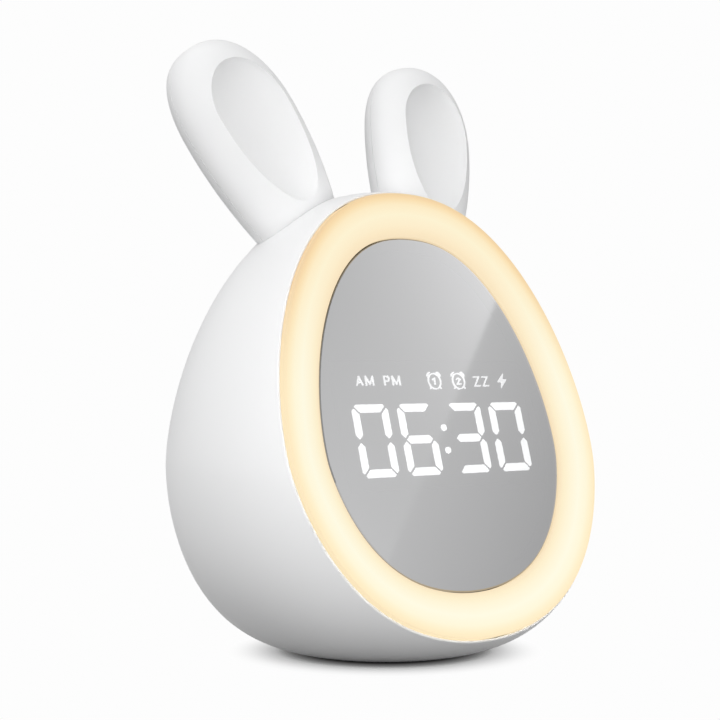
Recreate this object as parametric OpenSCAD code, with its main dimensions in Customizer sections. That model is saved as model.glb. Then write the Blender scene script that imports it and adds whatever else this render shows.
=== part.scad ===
// Rabbit-eared bedside clock: an egg-shaped shell stands on a rubber pad. Its leaning face carries a
// half-mirror with a seven-segment display behind it and a lit ring around it. Millimetres, +Z up,
// the face looks toward -Y, the origin is the centre of the pad's underside.

/* [Body] */
// Radius of the egg at its widest height
body_r = 52.5; // [50:0.5:56]
// Height of the egg, without the ears
body_h = 110; // [106:1:116]
// Height of the widest ring of the egg
widest_z = 45; // [43:0.5:48]
// How the upper profile falls away with height
top_power = 1.65; // [1.55:0.05:1.8]
// How full the upper profile is
top_round = 2.29; // [2.15:0.02:2.45]
// How the lower profile falls away with depth
low_power = 1.87; // [1.75:0.02:2]
// How full the lower profile is
low_round = 3.5; // [3.2:0.1:3.8]
// Radius of the egg where it meets its base plane
base_r = 17; // [16.8:0.2:19]
// Wall of the shell and of the rear cover
wall = 2.2; // [1.8:0.1:2.6]
// Floor of the shell above its base plane
floor_t = 3; // [2.6:0.1:3.6]
// Gap between the shell and the table
foot_h = 0.5; // [0.3:0.1:0.8]

/* [Base pad] */
// Radius of the rubber pad
pad_r = 16; // [12:0.5:16]
// Thickness of the rubber pad
pad_t = 1.3; // [1:0.1:1.8]

/* [Face] */
// Lean of the face from upright, in degrees
face_tilt = 16.3; // [14:0.1:19]
// Depth of the cut that makes the face, from the egg's front, at the widest height
face_in = 28.1; // [26:0.1:30]
// Width of the shell's own rim around the ring
rim_w = 0.5; // [0.4:0.1:0.9]
// Width of the lit ring
ring_w = 10.8; // [10:0.1:13]
// Height of the ring's outer edge above the rim
ring_edge = 1.2; // [0.6:0.1:1.6]
// Depth of the ring's inner edge below the rim
ring_sink = 0.4; // [0.1:0.1:0.6]
// Extra height of the ring's crown
ring_crown = 0.4; // [0.2:0.1:1]
// Depth of the ring below the rim
ring_deep = 1.6; // [1.4:0.1:2]
// Gap around the ring and around the mirror
ring_gap = 0.15; // [0.1:0.05:0.3]
// Depth of the mirror's front below the rim
mirror_low = 0.6; // [0.4:0.1:0.8]
// Thickness of the mirror
mirror_t = 1; // [0.8:0.1:1.2]
// Width of the mirror's polished edge
mirror_bevel = 0.35; // [0.2:0.05:0.5]
// Thickness of the mirror's adhesive
tape_t = 0.25; // [0.15:0.05:0.3]
// Width of the mirror's adhesive
tape_w = 2.6; // [1.6:0.1:3]

/* [Front frame] */
// Depth of the light trough below the rim, at the back of the frame
frame_deep = 8.5; // [8:0.1:9.5]
// Thickness of the trough floor
frame_floor = 1.5; // [1.2:0.1:2]
// Thickness of the trough's outer wall
frame_wall = 1.2; // [1:0.1:1.6]
// Thickness of the trough's inner wall
frame_inner = 1.8; // [1.4:0.1:2]
// Gap between the frame and the shell
frame_gap = 0.25; // [0.15:0.05:0.4]
// Thickness of the shell's flange behind the frame
flange_t = 1.8; // [1.5:0.1:2.4]
// Width of the flange from the face outline
flange_w = 9.5; // [8.6:0.1:10.5]

/* [Display] */
// Height of one digit
digit_h = 16.9; // [15:0.1:18]
// Stroke of a segment
stroke = 1.85; // [1.6:0.05:2.2]
// Cut between neighbouring segments, measured along the stroke
seg_cut = 0.46; // [0.3:0.02:0.5]
// Corner cut on the digits' outer corners
seg_chamfer = 0.45; // [0.3:0.05:0.5]
// Space between the two digits of a pair
digit_space = 2.9; // [2.2:0.1:3.2]
// Space between the pairs, where the colon is
colon_space = 4.9; // [4:0.1:5.2]
// Radius of a colon dot
colon_r = 0.8; // [0.6:0.05:1]
// Sideways place of the colon between the pairs
colon_u = 0.3; // [0:0.1:0.5]
// Bottom of the digits above the widest height, along the face
digit_v = -1.2; // [-3:0.1:1]
// Middle of the icon row above the widest height, along the face
icon_v = 21.3; // [20:0.1:22]
// Height of the icon row's letters
letter_h = 2; // [1.8:0.1:2.4]
// Width of the letter M
letter_w = 2.1; // [1.8:0.1:2.4]
// Stroke of the letters and icons
letter_stroke = 0.3; // [0.24:0.02:0.4]
// Room between the display board's corners and the frame
board_clear = 1.4; // [1:0.1:1.8]
// Room between the digits and the light block's ends
digit_margin = 3.5; // [3:0.1:4]
// Sideways place of the digits' and the icons' middle
show_u = 1.1; // [-1:0.1:1.3]
// Height of the light block
block_h = 30; // [29:0.5:31]
// Margin of the display board past the light block, above and below
board_margin = 4.6; // [4.4:0.1:5]
// Thickness of every circuit board
pcb_t = 1.6; // [1:0.1:1.8]

/* [Ears] */
// Sideways place of an ear's root
ear_x = 18.6; // [17:0.2:20]
// Fore-and-aft place of an ear's root
ear_y = 10.5; // [9:0.5:12]
// Depth of an ear's root below the egg's surface
ear_sink = 5.1; // [4:0.1:6]
// Outward lean of an ear
ear_splay = 18; // [15:0.5:21]
// Backward lean of an ear
ear_lean = 25; // [21:0.5:28]
// Turn of an ear about its own length
ear_turn = 5.5; // [0:0.5:8]
// Length of an ear from its root
ear_len = 52; // [46:0.2:60]
// Half width of an ear
ear_w = 15.9; // [15:0.1:18]
// Thickness of an ear in front of its seam
ear_front_t = 12.2; // [11:0.1:13]
// Thickness of an ear behind its seam
ear_rear_t = 7; // [6.4:0.1:7.6]
// Wall of an ear's shells
ear_wall = 1.8; // [1.4:0.1:2]
// Half width of the ear's dish
dish_w = 10.6; // [9:0.1:11.5]
// Depth of the ear's dish
dish_deep = 6.4; // [4:0.1:7]
// Gap under an ear
ear_gap = 0.12; // [0.08:0.02:0.2]

/* [Rear cover] */
// Depth of the seam between shell and rear cover, from the egg's back
seam_in = 14.5; // [13.5:0.1:15.5]
// Depth of the rear cover's flat face, from the egg's back
cover_in = 8.5; // [7.6:0.1:9]
// Gap at the seam
seam_gap = 0.15; // [0.1:0.05:0.3]
// Length of the cover's inner lip
lip_len = 3; // [2:0.2:4]
// Thickness of the cover's inner lip
lip_t = 1.2; // [1:0.1:1.6]
// Sideways place of the lower cover screws
cover_screw_x = 20; // [19.6:0.2:21]
// Height of the lower cover screws
cover_screw_z = 26; // [24:0.5:28]
// Room between the upper cover screw's post and the shell
cover_top_room = 0.8; // [0.6:0.1:2]

/* [Keys] */
// Radius of a key
key_r = 3.75; // [3.2:0.05:4]
// Gap around a key
key_gap = 0.25; // [0.15:0.05:0.35]
// Height of a key above the cover
key_proud = 0.9; // [0.7:0.1:1.4]
// Travel of a key
key_travel = 0.4; // [0.25:0.05:0.5]
// Sideways pitch of the keys
key_pitch = 11.2; // [10.6:0.1:11.6]
// Upper key row below the main board's upper edge
key_down = 7; // [6.5:0.1:7.5]
// Height difference between the key rows
key_drop = 10.6; // [10.2:0.1:11]
// Height of a raised key mark
mark_h = 0.2; // [0.1:0.05:0.3]

/* [Electronics] */
// Reach of the main board's upper corners past the shell's rear opening
board_over = 0.3; // [0:0.1:0.4]
// Main board past the lower key row
board_past = 4.9; // [4.7:0.1:5.2]
// Room between the main board and the upper screw's boss
board_room = 2.5; // [1.5:0.1:3]
// Main board in front of the rear cover's flat face
board_in = 11; // [10.6:0.1:12]
// Width of a key switch
switch_w = 6; // [5.5:0.1:6.2]
// Depth of a key switch body
switch_t = 3.5; // [3.1:0.1:3.8]
// Radius of a switch plunger
plunger_r = 1.7; // [1.4:0.1:1.8]
// Width of the USB-C socket
usb_w = 8.94; // [8.8:0.02:9.1]
// Height of the USB-C socket
usb_h = 3.26; // [3.1:0.02:3.4]
// Room between the speaker's ring wall and the lower keys
speaker_room = 1.3; // [1:0.1:2.5]
// Room between the speaker's ring wall and the flat face's lower edge
speaker_edge = 2.65; // [2:0.05:4]
// Radius of a grille hole
grille_r = 0.8; // [0.5:0.05:1]
// Spacing of the grille holes
grille_pitch = 3.3; // [2.8:0.1:3.4]
// Number of lamps in the ring
ring_lamps = 24; // [12, 24]
// Radius of the battery cell
cell_r = 9.2; // [8.8:0.1:9.3]
// Length of the battery cell
cell_len = 65; // [60:0.5:66]
// Room between the battery tray's ends and the shell
tray_room = 2.25; // [2:0.05:3]
// Battery cell's axis behind the face, at the widest height
cell_in = 24.2; // [23.5:0.1:25]

/* [Hidden] */
$fn = 64;
eps = 0.01;
snug = 0.05;
low_reach = widest_z / pow(1 - pow(base_r / body_r, low_round), 1 / low_power);
face_y = face_in - body_r;
seam_y = body_r - seam_in;
cover_y = body_r - cover_in;
board_y = cover_y - board_in;
cell_y = face_y + cell_in;
low_steps = 20;
top_steps = 26;
face_steps = 96;
face_centre = 12;
ring_in = rim_w + ring_w;
lens_in = ring_in + ring_gap;
mirror_back = -mirror_low - mirror_t;
ledge_h = mirror_back - tape_t;
glow_h = mirror_back - 2 * snug;
block_top = glow_h - 0.35;
block_back = -frame_deep + 0.4;
board_h = block_back - pcb_t;
block_v = (digit_v + icon_v + letter_h / 2 + 0.6) / 2;
block_gap = 0.3;
screw_r = 1;
screw_bore = 1.1;
screw_clear = 1.4;
screw_hold = 3.2;
cover_hold = 6;
board_hold = 4;
board_bore = 5;
tray_hold = 4.5;
head_r = 2.3;
head_t = 1.4;
boss_r = 2.8;
post_r = 2.3;
panel_y = cover_y - wall;
key_flange_t = 0.8;
plunger_y = board_y + switch_t + 1.5;
cover_boss_r = 3.5;
well_r = 2.9;
well_wall = 1.2;
well_floor = 1.5;
boss_y = seam_y - lip_len - 0.2;

// ---- Egg -------------------------------------------------------------------------------------

// Radius of the egg at height z
function egg_r(z) = z >= widest_z
    ? body_r * pow(max(0, 1 - pow((z - widest_z) / (body_h - widest_z), top_power)), 1 / top_round)
    : body_r * pow(max(0, 1 - pow((widest_z - z) / low_reach, low_power)), 1 / low_round);
// Heights at which the upper and the lower profile have radius r
function egg_top_z(r) = widest_z + (body_h - widest_z) * pow(1 - pow(r / body_r, top_round), 1 / top_power);
function egg_low_z(r) = widest_z - low_reach * pow(1 - pow(r / body_r, low_round), 1 / low_power);
low_points = [for (i = [0:low_steps - 1]) let (z = widest_z * pow(i / low_steps, 1.8)) [egg_r(z), z]];
top_points = [for (i = [0:top_steps])
    let (z = widest_z + (body_h - widest_z) * (1 - pow(1 - i / top_steps, 2))) [egg_r(z), z]];
egg_points = concat(low_points, top_points);
egg_last = len(egg_points) - 1;
function along(points, i) = points[min(i + 1, len(points) - 1)] - points[max(i - 1, 0)];
function outward(d) = [d[1], -d[0]] / norm(d);
// The egg's profile, moved inward by an inset
function egg_profile(inset) = [for (i = [0:egg_last])
    let (n = i == egg_last ? [0, 1] : outward(along(egg_points, i)), p = egg_points[i] - inset * n)
    [max(0, p[0]), p[1]]];
module egg(inset, low = 0) {
    points = [for (p = egg_profile(inset)) if (p[1] > low + eps) p];
    rotate_extrude() polygon(concat([[0, low], [points[0][0], low]], points));
}
module slab_y(y0, y1) translate([-body_r, y0, -body_h / 4]) cube([2 * body_r, y1 - y0, 1.5 * body_h]);
module post_y(x, z, y0, y1, r) translate([x, y0, z]) rotate([-90, 0, 0]) cylinder(r = r, h = y1 - y0);

// ---- Face plane ------------------------------------------------------------------------------

// Puts children in the face's frame: x across, y up along the face, z out of it
module on_face() translate([0, face_y, widest_z]) rotate([90 - face_tilt, 0, 0]) children();
function face_point(u, v) = [u, face_y + v * sin(face_tilt), widest_z + v * cos(face_tilt)];
function inside_egg(p) = norm([p[0], p[1]]) < egg_r(p[2]);
function face_reach(a, near, far, steps) = let (m = (near + far) / 2)
    steps == 0 ? m
    : inside_egg(face_point(m * sin(a), face_centre + m * cos(a))) ? face_reach(a, m, far, steps - 1)
    : face_reach(a, near, m, steps - 1);
face_outline = [for (i = [0:face_steps - 1])
    let (a = 360 * i / face_steps, m = face_reach(a, 0, body_h, 30)) [m * sin(a), face_centre + m * cos(a)]];
function face_next(i) = face_outline[(i + 1) % face_steps];
function face_last(i) = face_outline[(i + face_steps - 1) % face_steps];
// Unit vector into the face at outline point i
function face_inward(i) = let (d = face_next(i) - face_last(i)) [d[1], -d[0]] / norm(d);
function face_inset(d) = [for (i = [0:face_steps - 1]) face_outline[i] + d * face_inward(i)];
module face_plate(d, h0, h1) on_face() translate([0, 0, h0]) linear_extrude(h1 - h0) polygon(face_inset(d));
module face_band(d0, d1, h0, h1) difference() {
    face_plate(d0, h0, h1);
    face_plate(d1, h0 - 1, h1 + 1);
}
// A closed loop of [inset, height] pairs, carried once around the face
module face_sweep(section) {
    n = len(section);
    points = [for (i = [0:face_steps - 1]) for (s = section)
        let (p = face_outline[i] + s[0] * face_inward(i)) [p[0], p[1], s[1]]];
    faces = [for (i = [0:face_steps - 1]) for (k = [0:n - 1])
        let (a = i * n + k, b = i * n + (k + 1) % n,
            c = ((i + 1) % face_steps) * n + (k + 1) % n, e = ((i + 1) % face_steps) * n + k)
        each [[a, b, c], [a, c, e]]];
    on_face() polyhedron(points, faces);
}
// Half width of a shape on the face at height v
function reach_at(shape, v) = max([for (i = [0:face_steps - 1])
    let (p = shape[i], q = shape[(i + 1) % face_steps])
    (p[1] - v) * (q[1] - v) < 0 ? p[0] + (q[0] - p[0]) * (v - p[1]) / (q[1] - p[1]) : 0]);
block_w = 2 * (reach_at(face_inset(ring_in), block_v + block_h / 2 + board_margin) - board_clear);
digits_w = block_w - 2 * digit_margin;
digit_w = (digits_w - 2 * digit_space - colon_space) / 4;
lamp_line = face_inset((rim_w + ring_in) / 2);
lamp_step = face_steps / ring_lamps;
frame_screw_count = 6;
frame_screw_step = face_steps / frame_screw_count;
function lamp_turn(i) = let (d = face_next(i) - face_last(i)) atan2(d[1], d[0]);
function frame_screw_at(k) = lamp_line[k * frame_screw_step + frame_screw_step / 2 + lamp_step / 2];
module at_frame_screws() on_face() for (k = [0:frame_screw_count - 1])
    translate([frame_screw_at(k)[0], frame_screw_at(k)[1], 0]) children();

// ---- Shell -----------------------------------------------------------------------------------

flange_back = -frame_deep - flange_t;
boss_deep = 5;
panel_low_z = egg_low_z(cover_y);
cover_top_z = egg_top_z(seam_y + wall + cover_top_room) - well_r - well_wall;
board_high = cover_top_z - cover_boss_r - board_room;
key_row_z = board_high - key_down;
key_low_z = key_row_z - key_drop;
board_low = key_low_z - board_past;
board_x = sqrt(pow(egg_r(board_high) - wall, 2) - pow(seam_y, 2)) + board_over;
cover_screws_at = [[-cover_screw_x, cover_screw_z], [cover_screw_x, cover_screw_z], [0, cover_top_z]];
module face_flange() intersection() {
    egg(wall / 2, foot_h + eps);
    union() {
        face_band(-body_r / 4, flange_w, flange_back, -frame_deep);
        at_frame_screws() translate([0, 0, flange_back - boss_deep])
            cylinder(r = boss_r, h = boss_deep + eps);
    }
}
rib_t = 2;
rib_y = boss_y - 8;
module cover_bosses() intersection() {
    egg(wall / 2, foot_h + eps);
    union() {
        for (p = cover_screws_at) post_y(p[0], p[1], rib_y, boss_y, cover_boss_r);
        for (side = [-1, 1]) translate([side > 0 ? cover_screw_x : -body_r, rib_y, cover_screw_z - rib_t / 2])
            cube([body_r - cover_screw_x, boss_y - rib_y, rib_t]);
        translate([-rib_t / 2, rib_y, cover_top_z]) cube([rib_t, boss_y - rib_y, body_h - cover_top_z]);
    }
}
nub_t = 1;
stop_t = 1.4;
stop_w = 10;
cell_under = 1.9;
cell_end = cell_len / 2 + nub_t + 0.2;
tray_end_r = norm([cell_end + stop_t, abs(cell_y) + stop_w / 2]);
tray_plate_z = egg_low_z(tray_end_r + wall + tray_room);
cell_z = tray_plate_z + cell_under + cell_r;
tray_screw_x = 12;
tray_screw_off = cell_r - 1.9;
tray_boss_r = 3.2;
module at_tray_screws(z) for (side = [-1, 1])
    translate([side * tray_screw_x, cell_y + side * tray_screw_off, z]) children();
module tray_bosses() at_tray_screws(foot_h + pad_t)
    cylinder(r = tray_boss_r, h = tray_plate_z - foot_h - pad_t);
ear_z = egg_top_z(norm([ear_x, ear_y])) - ear_sink;
ear_boss_deep = 5;
ear_boss_r = 3.6;
ear_post_x = 6.2;
ear_post_y = 1.6;
module at_ear(side) mirror([side < 0 ? 1 : 0, 0, 0]) translate([ear_x, ear_y, ear_z])
    rotate([-ear_lean, 0, 0]) rotate([0, ear_splay, 0]) rotate([0, 0, ear_turn]) children();
module at_ear_posts(side) at_ear(side) for (end = [-1, 1])
    translate([end * ear_post_x, ear_post_y, 0]) children();
module ear_bosses(side) intersection() {
    egg(wall / 2, foot_h + eps);
    at_ear_posts(side) translate([0, 0, -ear_boss_deep]) cylinder(r = ear_boss_r, h = 4 * ear_boss_deep);
}
module body_shell() color("white") difference() {
    union() {
        difference() {
            egg(0, foot_h);
            egg(wall, foot_h + floor_t);
        }
        face_flange();
        cover_bosses();
        tray_bosses();
        for (side = [-1, 1]) ear_bosses(side);
    }
    face_plate(rim_w, -frame_deep, body_h);
    face_plate(-body_r, 0, body_h);
    slab_y(seam_y, 2 * body_r);
    cylinder(r = pad_r + snug, h = pad_t + snug);
    at_frame_screws() translate([0, 0, flange_back - boss_deep - 1])
        cylinder(r = screw_bore, h = boss_deep + 4);
    for (p = cover_screws_at) post_y(p[0], p[1], rib_y + 1, boss_y + 1, screw_bore);
    at_tray_screws(foot_h + pad_t + 0.6) cylinder(r = screw_bore, h = cell_z);
    for (side = [-1, 1]) at_ear_posts(side) {
        translate([0, 0, -2 * ear_boss_deep]) cylinder(r = screw_clear, h = 6 * ear_boss_deep);
        translate([0, 0, -ear_boss_deep - cell_r]) cylinder(r = ear_boss_r, h = cell_r);
    }
}
module base_pad() color("dimgray") cylinder(r = pad_r, h = pad_t);

// ---- Ears ------------------------------------------------------------------------------------

ear_widest = 0.58;
ear_low = 0.3;
ear_power = 2.2;
ear_round = 2.4;
ear_section = 2.1;
ear_thin = 0.6;
dish_mid = 30.2;
dish_up = 13.2;
dish_down = 25.8;
dish_edge = 0.7;
ear_web = 0.3;
ear_rows = 26;
ear_tip = 0.9999;
rim_cols = 5;
dish_cols = 10;
rear_cols = 12;
function ear_f(s) = s > ear_widest
    ? pow(max(0, 1 - pow((s - ear_widest) / (1 - ear_widest), ear_power)), 1 / ear_round)
    : 1 - ear_low * pow((ear_widest - s) / ear_widest, 2);
// Height z of the ear as a share of the dish's reach up or down, and the dish's width and depth there
function dish_share(z) = (z - dish_mid) / (z > dish_mid ? dish_up : dish_down);
function dish_reach(z) = sqrt(max(0, 1 - pow(dish_share(z), 2)));
function dish_sink(x, z) = dish_deep * pow(max(0, 1 - pow(x / dish_w, 2) - pow(dish_share(z), 2)), dish_edge);
function super_y(x, b) = pow(max(0, 1 - pow(min(1, abs(x) / b), ear_section)), 1 / ear_section);
// Sideways place of column j across the front: rim, dish, rim
function front_x(j, b, r) =
    j <= rim_cols ? -b * cos(acos(r / b) * j / rim_cols)
    : j >= rim_cols + dish_cols ? b * cos(acos(r / b) * (2 * rim_cols + dish_cols - j) / rim_cols)
    : r * (2 * (j - rim_cols) / dish_cols - 1);
function ear_front_point(j, s, thin) =
    let (b = (ear_w - thin) * ear_f(s), t = s < ear_tip ? (ear_front_t - thin) * pow(ear_f(s), ear_thin) : 0,
        z = s * (ear_len - thin),
        r = min(0.8 * b, max(0.4 * b, dish_w * dish_reach(z))), x = front_x(j, b, r), y = -t * super_y(x, b))
    [x, min(thin > 0 && s < ear_tip && abs(x) < 0.98 * b ? -ear_web * ear_f(s) : 0, y + dish_sink(x, z)), z];
function ear_rear_point(j, s, thin) =
    let (b = (ear_w - thin) * ear_f(s), t = s < ear_tip ? (ear_rear_t - thin) * pow(ear_f(s), ear_thin) : 0,
        a = 180 * j / rear_cols)
    [b * cos(a), t * super_y(cos(a), 1), s * (ear_len - thin)];
function turn_x(p, a) = [p[0], p[1] * cos(a) - p[2] * sin(a), p[1] * sin(a) + p[2] * cos(a)];
function turn_y(p, a) = [p[0] * cos(a) + p[2] * sin(a), p[1], p[2] * cos(a) - p[0] * sin(a)];
function turn_z(p, a) = [p[0] * cos(a) - p[1] * sin(a), p[0] * sin(a) + p[1] * cos(a), p[2]];
function ear_world(p) = turn_x(turn_y(turn_z(p, ear_turn), ear_splay), -ear_lean) + [ear_x, ear_y, ear_z];
function ear_point(front, j, s, thin) = front ? ear_front_point(j, s, thin) : ear_rear_point(j, s, thin);
// Where column j leaves the egg, as a share of the ear's length
function ear_start(front, j, thin, near, far, steps) = let (m = (near + far) / 2)
    steps == 0 ? m
    : inside_egg(ear_world(ear_point(front, j, m, thin))) ? ear_start(front, j, thin, m, far, steps - 1)
    : ear_start(front, j, thin, near, m, steps - 1);
module ear_shell(front) {
    cols = front ? 2 * rim_cols + dish_cols : rear_cols;
    wide = cols + 1;
    starts = [for (thin = [0, ear_wall]) [for (j = [0:cols])
        ear_start(front, j, thin, -0.3, 0.5, 20) + ear_gap / ear_len]];
    points = [for (k = [0, 1]) for (i = [0:ear_rows]) for (j = [0:cols])
        let (g = 1 - pow(1 - i / ear_rows, 1.8), s = starts[k][j] + (ear_tip - starts[k][j]) * g)
        ear_point(front, j, s, k * ear_wall)];
    inner = (ear_rows + 1) * wide;
    function quad(a, b, c, d) = [[a, b, c], [a, c, d]];
    faces = concat(
        [for (i = [0:ear_rows - 1]) for (j = [0:cols - 1])
            let (a = i * wide + j) each quad(a, a + wide, a + wide + 1, a + 1)],
        [for (i = [0:ear_rows - 1]) for (j = [0:cols - 1])
            let (a = inner + i * wide + j) each quad(a, a + 1, a + wide + 1, a + wide)],
        [for (j = [0:cols - 1]) each quad(j, j + 1, inner + j + 1, inner + j)],
        [for (j = [0:cols - 1]) let (a = ear_rows * wide + j) each quad(a, inner + a, inner + a + 1, a + 1)],
        [for (i = [0:ear_rows - 1]) let (a = i * wide) each quad(a, inner + a, inner + a + wide, a + wide)],
        [for (i = [0:ear_rows - 1])
            let (a = i * wide + cols) each quad(a, a + wide, inner + a + wide, inner + a)]);
    polyhedron(points, faces);
}
ear_post_top = 17;
ear_screw_top = 13;
module ear_front(side) color("white") at_ear(side) ear_shell(true);
module ear_rear(side) color("white") union() {
    difference() {
        at_ear(side) ear_shell(false);
        at_ear_posts(side) translate([0, 0, -1]) cylinder(r = screw_bore, h = ear_screw_top + 2);
    }
    difference() {
        at_ear_posts(side) cylinder(r = post_r, h = ear_post_top);
        at_ear_posts(side) translate([0, 0, -1]) cylinder(r = screw_bore, h = ear_screw_top + 2);
        egg(-ear_gap, 0);
    }
}
module left_ear_front() ear_front(-1);
module left_ear_rear() ear_rear(-1);
module right_ear_front() ear_front(1);
module right_ear_rear() ear_rear(1);
// A pan-head screw along +Z, its head's seat at zero
module screw(length, r = screw_r) {
    translate([0, 0, -head_t]) cylinder(r = head_r, h = head_t);
    cylinder(r = r, h = length);
}
module ear_screws() color("silver") for (side = [-1, 1]) at_ear_posts(side)
    translate([0, 0, -ear_boss_deep]) screw(ear_boss_deep + ear_screw_top);

// ---- Ring, mirror and frame ------------------------------------------------------------------

ring_round = 0.3;
crown_steps = 8;
function crown(t) = (1 - t) * ring_edge - t * ring_sink + ring_crown * (1 - pow(2 * t - 1, 2));
ring_out = rim_w + ring_gap;
ring_top_w = ring_in - ring_out - 2 * ring_round;
module light_ring() color("moccasin") face_sweep(concat(
    [[ring_in, -ring_deep], [ring_out, -ring_deep], [ring_out, ring_edge - ring_round]],
    [for (k = [0:crown_steps]) let (t = k / crown_steps) [ring_out + ring_round + ring_top_w * t, crown(t)]],
    [[ring_in, -ring_sink - ring_round]]));
module mirror_lens() color("silver") difference() {
    face_plate(lens_in, mirror_back, -mirror_low);
    face_sweep([[lens_in - 1, 1], [lens_in - 1, -mirror_low - mirror_bevel],
        [lens_in, -mirror_low - mirror_bevel], [lens_in + mirror_bevel, -mirror_low],
        [lens_in + mirror_bevel, 1]]);
}
module mirror_tape() color("black") face_band(lens_in + 0.4, lens_in + 0.4 + tape_w, ledge_h, mirror_back);
inner_wall_in = ring_in - frame_inner;
frame_top = ring_deep;
ledge_t = 1.5;
module block_hole(grow, h0, h1) on_face() translate([-block_w / 2 - grow, block_v - block_h / 2 - grow, h0])
    cube([block_w + 2 * grow, block_h + 2 * grow, h1 - h0]);
post_edge = 0.7;
display_post_x = block_w / 2 - post_r - post_edge;
display_posts = [for (x = [-1, 1]) for (y = [-1, 1])
    [x * display_post_x, block_v + y * (block_h / 2 + board_margin - post_r)]];
module at_display_posts() on_face() for (p = display_posts) translate([p[0], p[1], 0]) children();
module front_frame() color("gainsboro") difference() {
    union() {
        face_band(rim_w + frame_gap, rim_w + frame_gap + frame_wall, -frame_deep, -frame_top);
        face_band(rim_w + frame_gap, ring_in + snug, -frame_deep, frame_floor - frame_deep);
        face_band(inner_wall_in, ring_in + snug, -frame_deep, -frame_top);
        difference() {
            face_plate(ring_in, ledge_h - ledge_t, ledge_h);
            block_hole(block_gap, -frame_deep, 1);
        }
        at_display_posts() translate([0, 0, block_back]) cylinder(r = post_r, h = ledge_h - 0.5 - block_back);
    }
    at_frame_screws() translate([0, 0, -frame_deep - 1]) cylinder(r = screw_clear, h = frame_floor + 2);
    at_display_posts() translate([0, 0, block_back - 1]) cylinder(r = screw_bore, h = 5);
}
board_inset = rim_w + frame_gap + frame_wall + 0.3;
ring_board_h = frame_floor - frame_deep;
ring_board_t = 1;
module ring_board() color("whitesmoke") difference() {
    face_band(board_inset, inner_wall_in - 0.3, ring_board_h, ring_board_h + ring_board_t);
    at_frame_screws() translate([0, 0, ring_board_h - 1]) cylinder(r = screw_clear, h = 3);
}
lamp_l = 3.5;
lamp_d = 2.8;
lamp_t = 1;
module ring_lamps() color("khaki") on_face() for (i = [0:lamp_step:face_steps - 1])
    translate([lamp_line[i][0], lamp_line[i][1], ring_board_h + ring_board_t]) rotate(lamp_turn(i))
        translate([-lamp_l / 2, -lamp_d / 2, 0]) cube([lamp_l, lamp_d, lamp_t]);
module frame_screws() color("silver") at_frame_screws()
    translate([0, 0, ring_board_h + ring_board_t]) mirror([0, 0, 1])
        screw(ring_board_t + frame_floor + flange_t + screw_hold);

// ---- Display ---------------------------------------------------------------------------------

function flip_x(shape) = [for (p = shape) [digit_w - p[0], p[1]]];
function flip_y(shape) = [for (p = shape) [p[0], digit_h - p[1]]];
seg_mid = digit_h / 2;
seg_side = seg_cut + stroke;
seg_a = [[seg_cut + 2 * seg_chamfer, digit_h], [digit_w - seg_cut - 2 * seg_chamfer, digit_h],
    [digit_w - seg_cut - seg_chamfer, digit_h - seg_chamfer], [digit_w - seg_side, digit_h - stroke],
    [seg_side, digit_h - stroke], [seg_cut + seg_chamfer, digit_h - seg_chamfer]];
seg_f = [[seg_chamfer, digit_h - seg_cut - seg_chamfer], [0, digit_h - seg_cut - 2 * seg_chamfer],
    [0, seg_mid + seg_cut + stroke / 2], [stroke / 2, seg_mid + seg_cut],
    [stroke, seg_mid + seg_cut + stroke / 2], [stroke, digit_h - seg_side]];
seg_g = [[seg_cut + stroke / 2, seg_mid], [seg_side, seg_mid + stroke / 2],
    [digit_w - seg_side, seg_mid + stroke / 2], [digit_w - seg_cut - stroke / 2, seg_mid],
    [digit_w - seg_side, seg_mid - stroke / 2], [seg_side, seg_mid - stroke / 2]];
segments = [seg_a, flip_x(seg_f), flip_x(flip_y(seg_f)), flip_y(seg_a), flip_y(seg_f), seg_f, seg_g];
// Which of the segments a to g glow in each digit: 06:30
lit = [[1, 1, 1, 1, 1, 1, 0], [1, 0, 1, 1, 1, 1, 1], [1, 1, 1, 1, 0, 0, 1], [1, 1, 1, 1, 1, 1, 0]];
function digit_u(k) = -digits_w / 2 + k * (digit_w + digit_space) + (k > 1 ? colon_space - digit_space : 0);
module colon(h0, h1) for (v = [0.335, 0.655]) translate([colon_u, v * digit_h, h0])
    cylinder(r = colon_r, h = h1 - h0, $fn = 24);
// Segments that glow or stay dark, or all of them, between two heights
module segment_set(want, h0, h1) on_face() translate([show_u, digit_v, 0]) {
    for (k = [0:3]) for (s = [0:6]) if (want < 0 || lit[k][s] == want)
        translate([digit_u(k), 0, h0]) linear_extrude(h1 - h0) polygon(segments[s]);
    if (want != 0) colon(h0, h1);
}
resin_t = 2;
module lit_segments() color("white") segment_set(1, block_top - resin_t, glow_h);
module dark_segments() color("gray") segment_set(0, block_top - resin_t, glow_h);
module light_block() color("black") difference() {
    block_hole(0, block_back, block_top);
    segment_set(-1, block_back - 1, block_top + 1);
}
// One stroke from a to b, in units of the letter's box
module bar(a, b, w, h) {
    p = [a[0] * w, a[1] * h];
    q = [b[0] * w, b[1] * h];
    run = norm(q - p) + letter_stroke;
    translate([(p[0] + q[0]) / 2, (p[1] + q[1]) / 2, 0]) rotate(atan2(q[1] - p[1], q[0] - p[0]))
        translate([-run / 2, -letter_stroke / 2, 0]) cube([run, letter_stroke, glow_h - block_top]);
}
module strokes(path, w = letter_w, h = letter_h) for (i = [0:len(path) - 2]) bar(path[i], path[i + 1], w, h);
letter_a = [[0, 0], [0.5, 1], [1, 0]];
letter_m = [[0, 0], [0, 1], [0.5, 0.1], [1, 1], [1, 0]];
letter_p = [[0, 0], [0, 1], [0.8, 1], [1, 0.85], [1, 0.6], [0.8, 0.45], [0, 0.45]];
letter_z = [[0, 1], [1, 1], [0, 0], [1, 0]];
bolt = [[2.4, 3.8], [0, 1.65], [1.35, 1.55], [0.85, 0], [3.1, 2.2], [1.75, 2.35]];
bell_r = 2.02;
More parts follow.
